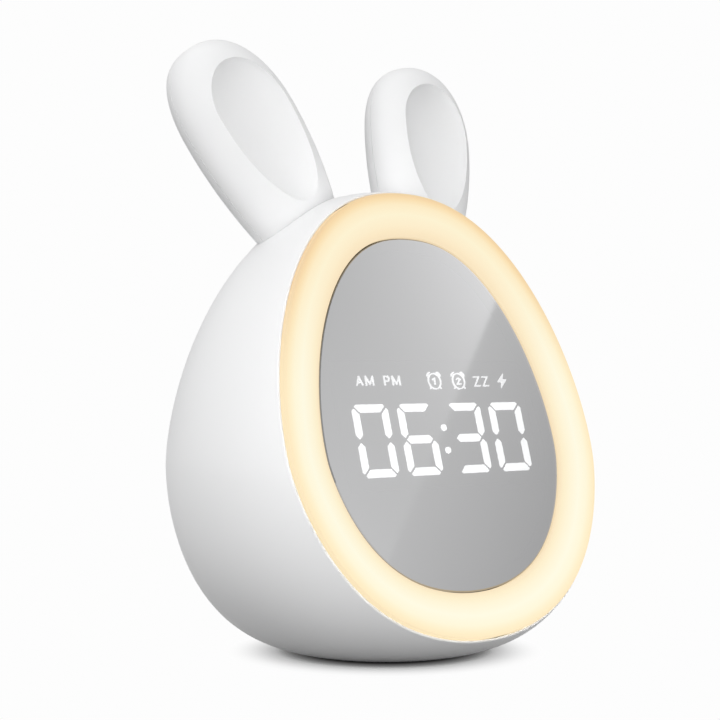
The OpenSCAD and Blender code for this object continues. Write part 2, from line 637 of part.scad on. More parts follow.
bell = [[-0.85, 0], [0.85, 0], [0.5, 0.42], [-0.5, 0.42]];
numeral_1 = [[-0.3, 0.3], [0.05, 0.5], [0.05, -0.5]];
numeral_2 = [[-0.35, 0.35], [0, 0.5], [0.35, 0.3], [-0.35, -0.5], [0.35, -0.5]];
module clock_icon(numeral) {
    glyph_t = glow_h - block_top;
    difference() {
        cylinder(r = bell_r, h = glyph_t);
        translate([0, 0, -1]) cylinder(r = bell_r - letter_stroke, h = glyph_t + 2);
    }
    strokes(numeral, 1.45, 1.4);
    for (side = [-1, 1]) {
        rotate(side * 42) translate([0, bell_r + 0.2, 0]) linear_extrude(glyph_t) polygon(bell);
        rotate(side * 43) translate([-letter_stroke / 2, -bell_r - 0.5, 0])
            cube([letter_stroke, 0.6, glyph_t]);
    }
}
glyph_low = icon_v - letter_h / 2;
am_u = 2.85 - digits_w / 2;
pm_u = am_u + 8.25;
letter_gap = 1.1;
a_w = letter_w * 0.8;
p_w = letter_w * 0.65;
z_w = letter_w * 0.78;
clock_u = [0.2, 7.8];
sleep_u = clock_u[1] + 5.05;
bolt_u = digits_w / 2 - 5.75;
module status_icons() color("white") on_face() translate([show_u, 0, block_top]) {
    translate([am_u, glyph_low, 0]) {
        strokes(letter_a, a_w);
        bar([0.22, 0.3], [0.78, 0.3], a_w, letter_h);
        translate([a_w + letter_gap, 0, 0]) strokes(letter_m);
    }
    translate([pm_u, glyph_low, 0]) {
        strokes(letter_p, p_w);
        translate([p_w + letter_gap, 0, 0]) strokes(letter_m);
    }
    translate([clock_u[0], icon_v - 0.2, 0]) clock_icon(numeral_1);
    translate([clock_u[1], icon_v - 0.2, 0]) clock_icon(numeral_2);
    for (k = [0, 1]) translate([sleep_u + k * (z_w + letter_gap), glyph_low - 0.4, 0])
        strokes(letter_z, z_w, letter_h + 0.2);
    translate([bolt_u, glyph_low - 1.1, 0]) linear_extrude(glow_h - block_top) polygon(bolt);
}
module display_board() color("darkgreen") difference() {
    on_face() translate([-block_w / 2, block_v - block_h / 2 - board_margin, board_h])
        cube([block_w, block_h + 2 * board_margin, pcb_t]);
    at_display_posts() translate([0, 0, board_h - 1]) cylinder(r = screw_clear, h = 4);
}
chip_lamp = 1.2;
function middle(shape) = [for (axis = [0, 1]) (shape[0][axis] + shape[3][axis]) / 2];
module display_lamps() color("white") on_face() translate([show_u, digit_v, block_back]) {
    for (k = [0:3]) for (s = [0:6]) let (m = middle(segments[s]) + [digit_u(k), 0])
        translate([m[0] - chip_lamp / 2, m[1] - chip_lamp / 2, 0]) cube([chip_lamp, chip_lamp, 0.7]);
}
ribbon_w = 10;
ribbon_v = 14;
plug_t = 4;
plug_w = 3;
plug_side = 1;
chip_t = 1.2;
driver_size = [11, 7.5, chip_t];
driver_at = [-22, 0];
sensor_size = [6, 5, chip_t];
sensor_at = [10, 2];
module display_chips() color("black") on_face() {
    translate([driver_at[0], driver_at[1], board_h - chip_t]) cube(driver_size);
    translate([sensor_at[0], sensor_at[1], board_h - chip_t]) cube(sensor_size);
    translate([-ribbon_w / 2 - plug_side, ribbon_v - plug_w / 2, board_h - plug_t])
        cube([ribbon_w + 2 * plug_side, plug_w, plug_t]);
}
module display_screws() color("silver") at_display_posts() translate([0, 0, board_h])
    screw(pcb_t + screw_hold);

// ---- Rear cover ------------------------------------------------------------------------------

ring_wall = 1.2;
speaker_gap = 0.2;
key_skirt = 0.9;
speaker_top = key_low_z - key_r - key_skirt - speaker_room;
speaker_low = panel_low_z + speaker_edge;
speaker_z = (speaker_top + speaker_low) / 2;
speaker_r = (speaker_top - speaker_low) / 2 - ring_wall - speaker_gap;
board_screws_at = [for (x = [-1, 1]) for (z = [board_low + post_r, board_high - post_r])
    [x * (board_x - post_r), z]];
head_y = boss_y + seam_gap + well_floor;
lip_root = 1.2;
module cover_lip(outer, y0, y1) intersection() {
    difference() {
        egg(outer, foot_h);
        egg(wall + seam_gap + lip_t, foot_h);
    }
    slab_y(y0, y1);
}
module rear_cover() color("white") difference() {
    union() {
        difference() {
            intersection() {
                egg(0, foot_h);
                slab_y(seam_y + seam_gap, cover_y);
            }
            intersection() {
                egg(wall, foot_h);
                slab_y(0, panel_y);
            }
        }
        cover_lip(wall + seam_gap, seam_y - lip_len, seam_y + seam_gap + lip_root);
        cover_lip(wall / 2, seam_y + seam_gap, seam_y + seam_gap + lip_root);
        intersection() {
            egg(wall / 2, foot_h);
            slab_y(0, cover_y - wall / 2);
            union() {
                for (p = cover_screws_at) post_y(p[0], p[1], boss_y + seam_gap, cover_y, well_r + well_wall);
                for (p = board_screws_at) post_y(p[0], p[1], board_y, cover_y, post_r);
                difference() {
                    post_y(0, speaker_z, panel_y - 3, cover_y, speaker_r + speaker_gap + ring_wall);
                    post_y(0, speaker_z, 0, panel_y, speaker_r + speaker_gap);
                }
            }
        }
    }
    for (p = cover_screws_at) {
        post_y(p[0], p[1], 0, body_r, screw_clear);
        post_y(p[0], p[1], head_y, body_r, well_r);
    }
    for (p = board_screws_at) post_y(p[0], p[1], board_y - 1, board_y + board_bore, screw_bore);
    for (k = keys) post_y(k[0], k[1], panel_y - 1, body_r, key_r + key_gap);
    translate([usb_x, panel_y - 1, key_low_z]) rotate([-90, 0, 0])
        usb_outline(usb_w + usb_gap, usb_h + usb_gap, body_r);
    for (ring = [0:3]) for (k = [0:max(0, 6 * ring - 1)])
        let (a = ring == 0 ? 0 : 60 * k / ring, r = ring * grille_pitch)
        post_y(r * cos(a), speaker_z + r * sin(a), panel_y - 1, body_r, grille_r);
}
module cover_screws() color("silver") for (p = cover_screws_at)
    translate([p[0], head_y, p[1]]) rotate([90, 0, 0]) screw(well_floor + cover_hold);

// ---- Keys ------------------------------------------------------------------------------------

usb_x = -key_pitch;
usb_gap = 0.7;
keys = [[key_pitch, key_row_z], [0, key_row_z], [-key_pitch, key_row_z], [key_pitch, key_low_z],
    [0, key_low_z]];
mark_len = 3.4;
mark_w = 0.55;
stem_r = 1.5;
flange_up = panel_y - 0.1;
module key(k) color("white") {
    post_y(keys[k][0], keys[k][1], flange_up - key_flange_t, cover_y + key_proud, key_r);
    post_y(keys[k][0], keys[k][1], flange_up - key_flange_t, flange_up, key_r + key_skirt);
    post_y(keys[k][0], keys[k][1], plunger_y, flange_up, stem_r);
    translate([keys[k][0], cover_y + key_proud - eps, keys[k][1]]) rotate([-90, 0, 0]) children();
}
module mark_bar(turn = 0) rotate(turn) translate([-mark_len / 2, -mark_w / 2, 0])
    cube([mark_len, mark_w, mark_h + eps]);
module mark_ring(r) difference() {
    cylinder(r = r, h = mark_h + eps);
    translate([0, 0, -1]) cylinder(r = r - mark_w, h = mark_h + 2);
}
module set_key() key(0) {
    mark_ring(2);
}
module alarm_key() key(1) {
    mark_ring(1.4);
}
module light_key() key(2) {
    cylinder(r = 0.9, h = mark_h + eps);
}
module minus_key() key(3) mark_bar();
module plus_key() key(4) {
    mark_bar();
    mark_bar(90);
}
switch_floor = board_y + 1;
module plunger(k) color("dimgray")
    post_y(keys[k][0], keys[k][1], switch_floor + key_travel + 0.1, plunger_y, plunger_r);
module set_plunger() plunger(0);
module alarm_plunger() plunger(1);
module light_plunger() plunger(2);
module minus_plunger() plunger(3);
module plus_plunger() plunger(4);

// ---- Main board ------------------------------------------------------------------------------

board_back = board_y - pcb_t;
processor_size = [9, 1.4, 9];
processor_at = [-16, board_low + 8.5];
charger_size = [6, chip_t, 5];
charger_at = [9, board_low + 10.5];
ribbon_plug_z = board_high - 4.5;
lead_plugs_x = [-9, 11];
lead_plug = [6, 5];
plug_low = board_low + 1;
module main_board() color("darkgreen") difference() {
    translate([-board_x, board_y - pcb_t, board_low]) cube([2 * board_x, pcb_t, board_high - board_low]);
    for (p = board_screws_at) post_y(p[0], p[1], 0, body_r, screw_clear);
}
module main_chips() color("black") {
    translate([processor_at[0], board_back - processor_size[1], processor_at[1]]) cube(processor_size);
    translate([charger_at[0], board_back - charger_size[1], charger_at[1]]) cube(charger_size);
    translate([-ribbon_w / 2 - plug_side, board_back - plug_t, ribbon_plug_z - plug_w / 2])
        cube([ribbon_w + 2 * plug_side, plug_t, plug_w]);
    for (x = lead_plugs_x) translate([x - lead_plug[0] / 2, board_back - plug_t, plug_low])
        cube([lead_plug[0], plug_t, lead_plug[1]]);
}
module board_screws() color("silver") for (p = board_screws_at)
    translate([p[0], board_y - pcb_t, p[1]]) rotate([-90, 0, 0]) screw(pcb_t + board_hold);
module key_switches() color("silver") difference() {
    for (k = keys) translate([k[0] - switch_w / 2, board_y, k[1] - switch_w / 2])
        cube([switch_w, switch_t, switch_w]);
    for (k = keys) post_y(k[0], k[1], switch_floor, board_y + switch_t + 1, plunger_r + 0.1);
}
module usb_outline(w, h, length) linear_extrude(length) {
    square([w - h, h], center = true);
    for (side = [-1, 1]) translate([side * (w - h) / 2, 0]) circle(d = h);
}
usb_end = cover_y - 0.6;
module usb_socket() color("silver") translate([usb_x, board_y, key_low_z]) rotate([-90, 0, 0]) difference() {
    usb_outline(usb_w, usb_h, usb_end - board_y);
    translate([0, 0, 2.5]) usb_outline(usb_w - 0.6, usb_h - 0.6, cover_y);
}
module usb_tongue() color("black") translate([usb_x - 3.3, board_y + 2.5, key_low_z - 0.35])
    cube([6.6, usb_end - board_y - 3.5, 0.7]);

// ---- Speaker ---------------------------------------------------------------------------------

gasket_t = 0.5;
flange_y = panel_y - gasket_t;
basket_deep = 7;
basket_y = flange_y - basket_deep;
magnet_r = 8;
magnet_t = 4.5;
seat_w = 1.8;
module about_speaker() translate([0, 0, speaker_z]) rotate([-90, 0, 0]) children();
module speaker_gasket() color("black") about_speaker() difference() {
    translate([0, 0, flange_y]) cylinder(r = speaker_r, h = gasket_t);
    translate([0, 0, flange_y - 1]) cylinder(r = speaker_r - seat_w, h = gasket_t + 2);
}
basket_t = 0.8;
basket_foot = magnet_r + 1 + basket_t;
coil_r = 4;
coil_up = 2.2;
dome_h = 0.8;
cone_t = 0.5;
surround_w = 2.2;
cone_out = speaker_r - seat_w - snug;
cone_in = cone_out - surround_w;
cone_drop = 1.8;
module speaker_basket() color("dimgray") about_speaker() rotate_extrude() polygon([[speaker_r, flange_y],
    [speaker_r - seat_w, flange_y], [speaker_r - seat_w, flange_y - basket_t],
    [basket_foot - basket_t, basket_y + basket_t], [coil_r, basket_y + basket_t], [coil_r, basket_y],
    [basket_foot, basket_y], [speaker_r, flange_y - 2 * basket_t]]);
module speaker_cone() color("black") about_speaker() rotate_extrude() polygon([
    [0, basket_y + coil_up + dome_h - cone_t], [coil_r, basket_y + coil_up], [cone_in, flange_y - cone_drop],
    [cone_out - surround_w / 2, flange_y - cone_drop / 2], [cone_out, flange_y - cone_t - 0.2],
    [cone_out, flange_y - 0.2], [cone_out - surround_w / 2, flange_y - cone_drop / 2 + cone_t],
    [cone_in, flange_y - cone_drop + cone_t], [coil_r, basket_y + coil_up + cone_t],
    [0, basket_y + coil_up + dome_h]]);
module speaker_magnet() color("silver") about_speaker() translate([0, 0, basket_y - magnet_t])
    cylinder(r = magnet_r, h = magnet_t);

// ---- Battery ---------------------------------------------------------------------------------

tray_plate_t = 1.6;
saddle_x = 20;
saddle_t = 4;
module along_x(x0, x1, r) translate([x0, cell_y, cell_z]) rotate([0, 90, 0]) cylinder(r = r, h = x1 - x0);
module battery_cell() color("steelblue") {
    along_x(-cell_len / 2, cell_len / 2, cell_r);
    along_x(0, cell_len / 2 + nub_t, 3);
}
module battery_tray() color("dimgray") difference() {
    union() {
        translate([-cell_end - stop_t, cell_y - stop_w / 2, tray_plate_z])
            cube([2 * (cell_end + stop_t), stop_w, tray_plate_t]);
        translate([-tray_screw_x - tray_boss_r, cell_y - tray_screw_off - tray_boss_r, tray_plate_z])
            cube([2 * (tray_screw_x + tray_boss_r), 2 * (tray_screw_off + tray_boss_r), tray_plate_t]);
        for (side = [-1, 1]) translate([side * saddle_x - saddle_t / 2, cell_y - cell_r - 1.5, tray_plate_z])
            cube([saddle_t, 2 * cell_r + 3, cell_r + 4]);
        for (side = [-1, 1])
            translate([side * (cell_end + stop_t / 2) - stop_t / 2, cell_y - stop_w / 2, tray_plate_z])
            cube([stop_t, stop_w, cell_r + 4]);
    }
    along_x(-cell_end, cell_end, cell_r + 0.1);
    at_tray_screws(tray_plate_z - 1) cylinder(r = screw_clear, h = 4);
}
module tray_screws() color("silver") at_tray_screws(tray_plate_z + tray_plate_t)
    mirror([0, 0, 1]) screw(tray_plate_t + tray_hold);

// ---- Leads -----------------------------------------------------------------------------------

// A tube along a route, as rings of eight points square to the route
lead_r = 0.7;
function unit(v) = v / norm(v);
module tube(route, r) {
    n = len(route);
    points = [for (i = [0:n - 1])
        let (d = unit(along(route, i)), a = unit(cross(d, [0.31, 0.17, 0.93])), b = cross(d, a))
        for (k = [0:7]) route[i] + r * (a * cos(45 * k) + b * sin(45 * k))];
    sides = [for (i = [0:n - 2]) for (k = [0:7])
        let (a = i * 8 + k, b = i * 8 + (k + 1) % 8) each [[a, b, b + 8], [a, b + 8, a + 8]]];
    ends = [for (k = [1:6]) each [[0, k + 1, k], [(n - 1) * 8, (n - 1) * 8 + k, (n - 1) * 8 + k + 1]]];
    polyhedron(points, concat(sides, ends));
}
// A smooth curve through points that were placed by hand
function spline(p, i, t) =
    let (a = p[max(i - 1, 0)], b = p[i], c = p[i + 1], d = p[min(i + 2, len(p) - 1)])
    0.5 * (2 * b + (c - a) * t + (2 * a - 5 * b + 4 * c - d) * t * t + (3 * b - a - 3 * c + d) * t * t * t);
function smooth(p, steps) = concat([for (i = [0:len(p) - 2]) for (k = [0:steps - 1]) spline(p, i, k / steps)],
    [p[len(p) - 1]]);
function shift(p, d) = [for (q = p) q + d];
battery_pair = [1.3, -1.3, 0];
speaker_pair = [2, 0, 0];
lead_end = plug_low - 0.15;
lead_y = board_back - plug_t / 2;
battery_from = [-30, cell_y + 3, cell_z + 10];
battery_to = [lead_plugs_x[0] - 1.6, lead_y + 0.8, lead_end];
battery_route = [battery_from, battery_from + [1, 5, 3], battery_from + [7, 14, 8],
    battery_to + [-2.4, -2.2, -8.35], battery_to + [0, 0, -3.85], battery_to];
speaker_turn = 43.5;
lead_deep = 3.6;
lead_out = basket_foot + (speaker_r - basket_foot) * (basket_deep - lead_deep) / (basket_deep - 2 * basket_t)
    + lead_r + snug;
speaker_from = [lead_out * sin(speaker_turn), flange_y - lead_deep, speaker_z + lead_out * cos(speaker_turn)];
speaker_to = [lead_plugs_x[1] - 0.5, lead_y, lead_end];
speaker_route = [speaker_from, speaker_from + [0.3, -2.7, 0.8], speaker_to + [0, 1.1, -5.35],
    speaker_to + [0, 0, -2.85], speaker_to];
module battery_leads() {
    color("firebrick") tube(smooth(battery_route, 3), lead_r);
    color("black") tube(smooth(shift(battery_route, battery_pair), 3), lead_r);
}
module speaker_leads() {
    color("firebrick") tube(smooth(speaker_route, 3), lead_r);
    color("black") tube(smooth(shift(speaker_route, speaker_pair), 3), lead_r);
}
ribbon_t = 0.8;
// Depth and height of a point of the face's middle line, at height h over the face
function face_world(v, h) = [face_y, widest_z] + v * [sin(face_tilt), cos(face_tilt)]
    + h * [-cos(face_tilt), sin(face_tilt)];
ribbon_start = [board_back - plug_t - 0.2, ribbon_plug_z];
ribbon_end = face_world(ribbon_v, board_h - plug_t - 0.2);
ribbon_back = face_world(ribbon_v, board_h - plug_t - 5);
ribbon_route = [ribbon_start, ribbon_start + [-4, 0], ribbon_start + [-14, -9], ribbon_back, ribbon_end];
ribbon_line = smooth(ribbon_route, 5);
ribbon_last = len(ribbon_line) - 1;
function ribbon_edge(side) = [for (i = [0:ribbon_last])
    ribbon_line[i] + side * ribbon_t / 2 * outward(along(ribbon_line, i))];
module ribbon_cable() color("lightgray") translate([-ribbon_w / 2, 0, 0]) rotate([90, 0, 90])
    linear_extrude(ribbon_w)
        polygon(concat(ribbon_edge(1), [for (i = [0:ribbon_last]) ribbon_edge(-1)[ribbon_last - i]]));

// ---- Nodes -----------------------------------------------------------------------------------

body_shell();
rear_cover();
base_pad();
light_ring();
front_frame();
mirror_lens();
mirror_tape();
ring_board();
ring_lamps();
frame_screws();
light_block();
lit_segments();
dark_segments();
status_icons();
display_board();
display_lamps();
display_chips();
display_screws();
left_ear_front();
left_ear_rear();
right_ear_front();
right_ear_rear();
ear_screws();
cover_screws();
main_board();
main_chips();
board_screws();
key_switches();
usb_socket();
usb_tongue();
set_key();
alarm_key();
light_key();
minus_key();
plus_key();
set_plunger();
alarm_plunger();
light_plunger();
minus_plunger();
plus_plunger();
speaker_basket();
speaker_cone();
speaker_magnet();
speaker_gasket();
battery_cell();
battery_tray();
tray_screws();
battery_leads();
speaker_leads();
ribbon_cable();
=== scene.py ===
import bmesh
import bpy
import numpy as np
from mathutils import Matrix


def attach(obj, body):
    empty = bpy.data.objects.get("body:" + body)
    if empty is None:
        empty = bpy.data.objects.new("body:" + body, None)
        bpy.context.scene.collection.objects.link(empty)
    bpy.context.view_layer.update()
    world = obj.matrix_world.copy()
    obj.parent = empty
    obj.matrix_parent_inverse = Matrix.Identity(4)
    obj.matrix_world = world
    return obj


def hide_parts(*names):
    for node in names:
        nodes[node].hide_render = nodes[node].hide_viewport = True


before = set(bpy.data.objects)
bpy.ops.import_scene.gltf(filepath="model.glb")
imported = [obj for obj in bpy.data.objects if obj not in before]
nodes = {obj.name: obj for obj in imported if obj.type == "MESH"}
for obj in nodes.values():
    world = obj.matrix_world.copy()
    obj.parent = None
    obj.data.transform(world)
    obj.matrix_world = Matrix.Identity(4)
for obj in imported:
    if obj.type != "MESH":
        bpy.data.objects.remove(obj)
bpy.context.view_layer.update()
mm = 0.001

# ---- Camera -----------------------------------------------------------------------------------------
# A short telephoto a little over 40 cm away, at the height of the digits, turned to the clock's left.
camera = bpy.data.objects.new("camera", bpy.data.cameras.new("camera"))
camera.data.lens = 85
camera.data.sensor_width = 36
camera.location = (-0.26274, -0.3153, 0.06724)
camera.rotation_euler = np.radians((90.353, 0, -38.973))
bpy.context.scene.collection.objects.link(camera)
bpy.context.scene.camera = camera

# ---- Body shell -------------------------------------------------------------------------------------
# The egg is one injection-moulded ABS shell with a fine spark-eroded texture. A leaning plane cuts its
# front open for the frame, and an upright one cuts its back off for the rear cover.
body_r, body_h, widest = 52.5 * mm, 110 * mm, 45 * mm
top_power, top_round, low_power, low_round = 1.65, 2.29, 1.87, 3.5
base_r, foot, wall = 17 * mm, 0.5 * mm, 2.2 * mm
shell_cols, rows_per_mm, rows_least = 110, 1.5, 14
low_reach = widest / (1 - (base_r / body_r) ** low_round) ** (1 / low_power)
lean = np.radians(16.3)
face_y, face_centre = -24.4 * mm, 12 * mm
seam_y, seam_edge, face_edge = 38 * mm, 0.2 * mm, 0.22 * mm
rim_w, rim_edge, rim_step, recess_deep = 0.5 * mm, 0.06 * mm, 1.2 * mm, 8.5 * mm
white = (0.83, 0.832, 0.836)


def egg(z):
    """Radius of the egg at height z: two superellipse profiles that meet at the widest height."""
    up = np.clip((z - widest) / (body_h - widest), 0, 1)
    down = np.clip((widest - z) / low_reach, 0, 1)
    return body_r * np.where(z > widest, (1 - up ** top_power) ** (1 / top_round),
                             (1 - down ** low_power) ** (1 / low_round))


def from_face(u, v, h):
    """Points of the leaning face (u across, v up along it, h out of it) in the object's frame."""
    return np.stack(np.broadcast_arrays(
        u, face_y + v * np.sin(lean) - h * np.cos(lean), widest + v * np.cos(lean) + h * np.sin(lean)), -1)


def halve(inside, near, far):
    """Where inside(x) turns false between near and far, for whole arrays, by halving the stretch."""
    for _ in range(40):
        middle = (near + far) / 2
        held = inside(middle)
        near, far = np.where(held, middle, near), np.where(held, far, middle)
    return near


def face_outline(angles, h=0.0):
    """(u, v) where rays from the face's centre leave the egg, at height h over the face."""
    def inside(m):
        """Whether the points m along the rays lie in the egg."""
        p = from_face(m * np.sin(angles), face_centre + m * np.cos(angles), h)
        return np.hypot(p[..., 0], p[..., 1]) < egg(p[..., 2])
    m = halve(inside, np.zeros_like(angles), np.full_like(angles, body_h))
    return np.stack([m * np.sin(angles), face_centre + m * np.cos(angles)], -1)


def into(loop):
    """Unit normals of a closed clockwise outline, towards its inside."""
    run = np.roll(loop, -1, 0) - np.roll(loop, 1, 0)
    run /= np.linalg.norm(run, axis=1, keepdims=True)
    return np.stack([run[:, 1], -run[:, 0]], -1)


def grid_quads(rows, cols, wrap, start):
    """Corners of the quads of a grid numbered row by row from start; wrap joins the last column to the
    first."""
    i, j = np.meshgrid(np.arange(rows - 1), np.arange(cols if wrap else cols - 1), indexing="ij")
    k, here, below = (j + 1) % cols, i * cols, (i + 1) * cols
    return start + np.stack([here + j, here + k, below + k, below + j], -1).reshape(-1, 4)


def make_piece(name, grids, body="clock", stands_for=(), sharp=30):
    """A mesh of joined grids of points. A grid is (points, wrap, flip): rows by columns, each row one
    closed loop if wrap is set, and its quads turned over if flip is set. An optional fourth entry is a
    value per point, kept in the attribute "across". Edges sharper than sharp, in degrees, stay crisp. A
    piece without a body is part of the stage."""
    points, quads, across, count, merge = [], [], [], 0, 0.002 * mm
    for grid in grids:
        p, wrap, flip = grid[:3]
        q = grid_quads(p.shape[0], p.shape[1], wrap, count)
        points.append(p.reshape(-1, 3))
        quads.append(q[:, ::-1] if flip else q)
        across.append(np.broadcast_to(grid[3] if len(grid) > 3 else 0.0, p.shape[:2]).ravel())
        count += p.shape[0] * p.shape[1]
    points, quads = np.concatenate(points), np.concatenate(quads)
    mesh = bpy.data.meshes.new(name)
    mesh.vertices.add(len(points))
    mesh.vertices.foreach_set("co", points.astype(np.float32).ravel())
    mesh.loops.add(quads.size)
    mesh.loops.foreach_set("vertex_index", quads.astype(np.int32).ravel())
    mesh.polygons.add(len(quads))
    mesh.polygons.foreach_set("loop_start", np.arange(0, quads.size, 4, dtype=np.int32))
    mesh.polygons.foreach_set("use_smooth", np.ones(len(quads), bool))
    held = mesh.attributes.new("across", "FLOAT", "POINT")
    held.data.foreach_set("value", np.concatenate(across).astype(np.float32))
    mesh.update(calc_edges=True)
    build = bmesh.new()
    build.from_mesh(mesh)
    bmesh.ops.remove_doubles(build, verts=build.verts, dist=merge)
    bmesh.ops.dissolve_degenerate(build, edges=build.edges, dist=merge / 2)
    build.to_mesh(mesh)
    build.free()
    mesh.set_sharp_from_angle(angle=np.radians(sharp))
    piece = bpy.data.objects.new(name, mesh)
    bpy.context.scene.collection.objects.link(piece)
    if body:
        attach(piece, body)
    if stands_for:
        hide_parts(*stands_for)
    return piece


class Socket:
    """One output of a node. + * and ** with numbers or other sockets add Math nodes."""

    def __init__(self, finish, output):
        self.finish, self.output = finish, output

    def maths(self, operation, first, second):
        return self.finish.node("ShaderNodeMath", {"operation": operation}, {0: first, 1: second})

    def __add__(self, other): return self.maths("ADD", self, other)
    def __radd__(self, other): return self.maths("ADD", other, self)
    def __mul__(self, other): return self.maths("MULTIPLY", self, other)
    def __rmul__(self, other): return self.maths("MULTIPLY", other, self)
    def __pow__(self, other): return self.maths("POWER", self, other)


class Finish:
    """A material under construction: node() adds any node, shade() its Principled shader."""

    def __init__(self, name):
        self.material = bpy.data.materials.new(name)
        self.material.use_nodes = True
        self.tree = self.material.node_tree
        self.tree.nodes.clear()
        self.end = self.tree.nodes.new("ShaderNodeOutputMaterial")

    def node(self, kind, settings=None, values=None, out=0):
        """A node of a type, with its settings made first and its sockets then given values or links."""
        made = self.tree.nodes.new(kind)
        for key, value in (settings or {}).items():
            if key == "stops":
                while len(made.color_ramp.elements) < len(value):
                    made.color_ramp.elements.new(1)
                for element, (place, colour) in zip(made.color_ramp.elements, value):
                    element.position, element.color = place, (*colour, 1)
            else:
                setattr(made, key, value)
        for key, value in (values or {}).items():
            if isinstance(value, Socket):
                self.tree.links.new(value.output, made.inputs[key])
            else:
                made.inputs[key].default_value = value
        return Socket(self, made.outputs[out])

    def place(self):
        """Object coordinates, in metres."""
        return self.node("ShaderNodeTexCoord", out="Object")

    def part(self, vector, which):
        """One number of a vector: 0 for x, 1 for y and 2 for z."""
        return self.node("ShaderNodeSeparateXYZ", values={0: vector}, out=which)

    def noise(self, scale, detail=2.0):
        """Fractal noise from 0 to 1 with about scale lumps a metre."""
        return self.node("ShaderNodeTexNoise",
                         values={"Vector": self.place(), "Scale": scale, "Detail": detail})

    def across(self):
        """The value that make_piece keeps at each point."""
        return self.node("ShaderNodeAttribute", {"attribute_name": "across"}, out="Fac")

    def rise(self, value, low, high):
        """An eased step from 0 at low to 1 at high."""
        return self.node("ShaderNodeMapRange", {"interpolation_type": "SMOOTHSTEP"},
                         {"Value": value, "From Min": low, "From Max": high})

    def ramp(self, value, *stops):
        """Colours by value, each stop a place from 0 to 1 and its colour."""
        return self.node("ShaderNodeValToRGB", {"stops": stops}, {0: value})

    def tint(self, amount, low, high):
        """A colour between two, which are colours or sockets, by amount."""
        ends = [end if isinstance(end, Socket) else (*end, 1) for end in (low, high)]
        return self.node("ShaderNodeMix", {"data_type": "RGBA"}, {0: amount, 6: ends[0], 7: ends[1]}, out=2)

    def bump(self, height, depth):
        """A normal for relief of a depth in metres."""
        return self.node("ShaderNodeBump", values={"Height": height, "Distance": depth})

    def blend(self, amount, first, second):
        """A shader between two, by amount."""
        return self.node("ShaderNodeMixShader", values={0: amount, 1: first, 2: second})

    def surface(self, shader):
        """Makes a shader the material's surface."""
        self.tree.links.new(shader.output, self.end.inputs["Surface"])

    def shade(self, **values):
        """The Principled shader; a name's underscores stand for spaces, and colours have three numbers."""
        values = {key.replace("_", " "): (*v, 1) if isinstance(v, tuple) and len(v) == 3 else v
                  for key, v in values.items()}
        self.surface(self.node("ShaderNodeBsdfPrincipled", values=values))
        return self.material


def dress(piece, material):
    """Gives a piece, or a CAD node by its name, one material all over."""
    piece = nodes[piece] if isinstance(piece, str) else piece
    if not piece.data.materials:
        piece.data.materials.append(material)
    for held in piece.material_slots:
        held.link = "OBJECT"
        held.material = material


def moulded(name, colour, rough=0.46, grain=2600, depth=4e-6, spread=0.012):
    """Moulded plastic: a fine even grain, slight flow shading, and roughness that wanders a little."""
    f = Finish(name)
    fine, flow = f.noise(grain, 3), f.noise(22, 2)
    low = tuple(c * (1 - spread) for c in colour)
    high = tuple(min(1, c * (1 + spread)) for c in colour)
    return f.shade(Base_Color=f.tint(flow, low, high), Roughness=rough - 0.03 + 0.06 * f.noise(60),
                   Specular_IOR_Level=0.42, Normal=f.bump(fine, depth))


def cosine(low, high, count):
    """Heights from low to high, close together at both ends."""
    return low + (high - low) * (1 - np.cos(np.pi * np.linspace(0, 1, count))) / 2


def face_cut(z):
    """Depth y of the plane just behind the face, at height z."""
    return face_y + ((z - widest) * np.sin(lean) + face_edge) / np.cos(lean)


def shell_half(z, cols):
    """Half of the egg at heights z: round it from the face's cut to the seam's cut, or from x = 0."""
    r = np.maximum(egg(z), 1e-9)
    front = np.arccos(np.clip(-face_cut(z) / r, -1, 1))
    back = np.arccos(np.clip(-(seam_y - seam_edge) / r, -1, 1))
    a = front[:, None] + (back - front)[:, None] * np.linspace(0, 1, cols)
    r, z = r[:, None], z[:, None]
    return np.stack([r * np.sin(a), -r * np.cos(a), np.broadcast_to(z, a.shape)], -1)


def crossing(gap, near, far):
    """Height between near and far where gap(z) falls from over zero to under it."""
    return float(halve(lambda z: gap(z) > 0, np.array(near), np.array(far)))


face_low = crossing(lambda z: -(egg(z) + face_cut(z)), foot, widest * 0.6)
face_high = crossing(lambda z: egg(z) + face_cut(z), widest, body_h)
seam_low = crossing(lambda z: (seam_y - seam_edge) - egg(z), foot, widest)
seam_high = crossing(lambda z: egg(z) - (seam_y - seam_edge), widest, body_h)
marks = sorted([foot, face_low, seam_low, widest * 0.8, seam_high, face_high, body_h])
rows = np.unique(np.concatenate([cosine(a, b, max(rows_least, int((b - a) / mm * rows_per_mm)))
                                 for a, b in zip(marks, marks[1:])]))
half = shell_half(rows, shell_cols)
mirrored = half * (-1, 1, 1)
at_face = (rows >= face_low - 1e-9) & (rows <= face_high + 1e-9)
at_seam = (rows >= seam_low - 1e-9) & (rows <= seam_high + 1e-9)
face_loop = np.concatenate([half[at_face, 0], mirrored[at_face, 0][::-1][1:-1]])
seam_loop = np.concatenate([half[at_seam, -1], mirrored[at_seam, -1][::-1][1:-1]])


def rounded(start, corner, end, steps=5):
    """Rows of points along a curve from start to end that bends round corner."""
    t = np.linspace(0, 1, steps)[:, None, None]
    return (1 - t) ** 2 * start + 2 * t * (1 - t) * corner + t ** 2 * end


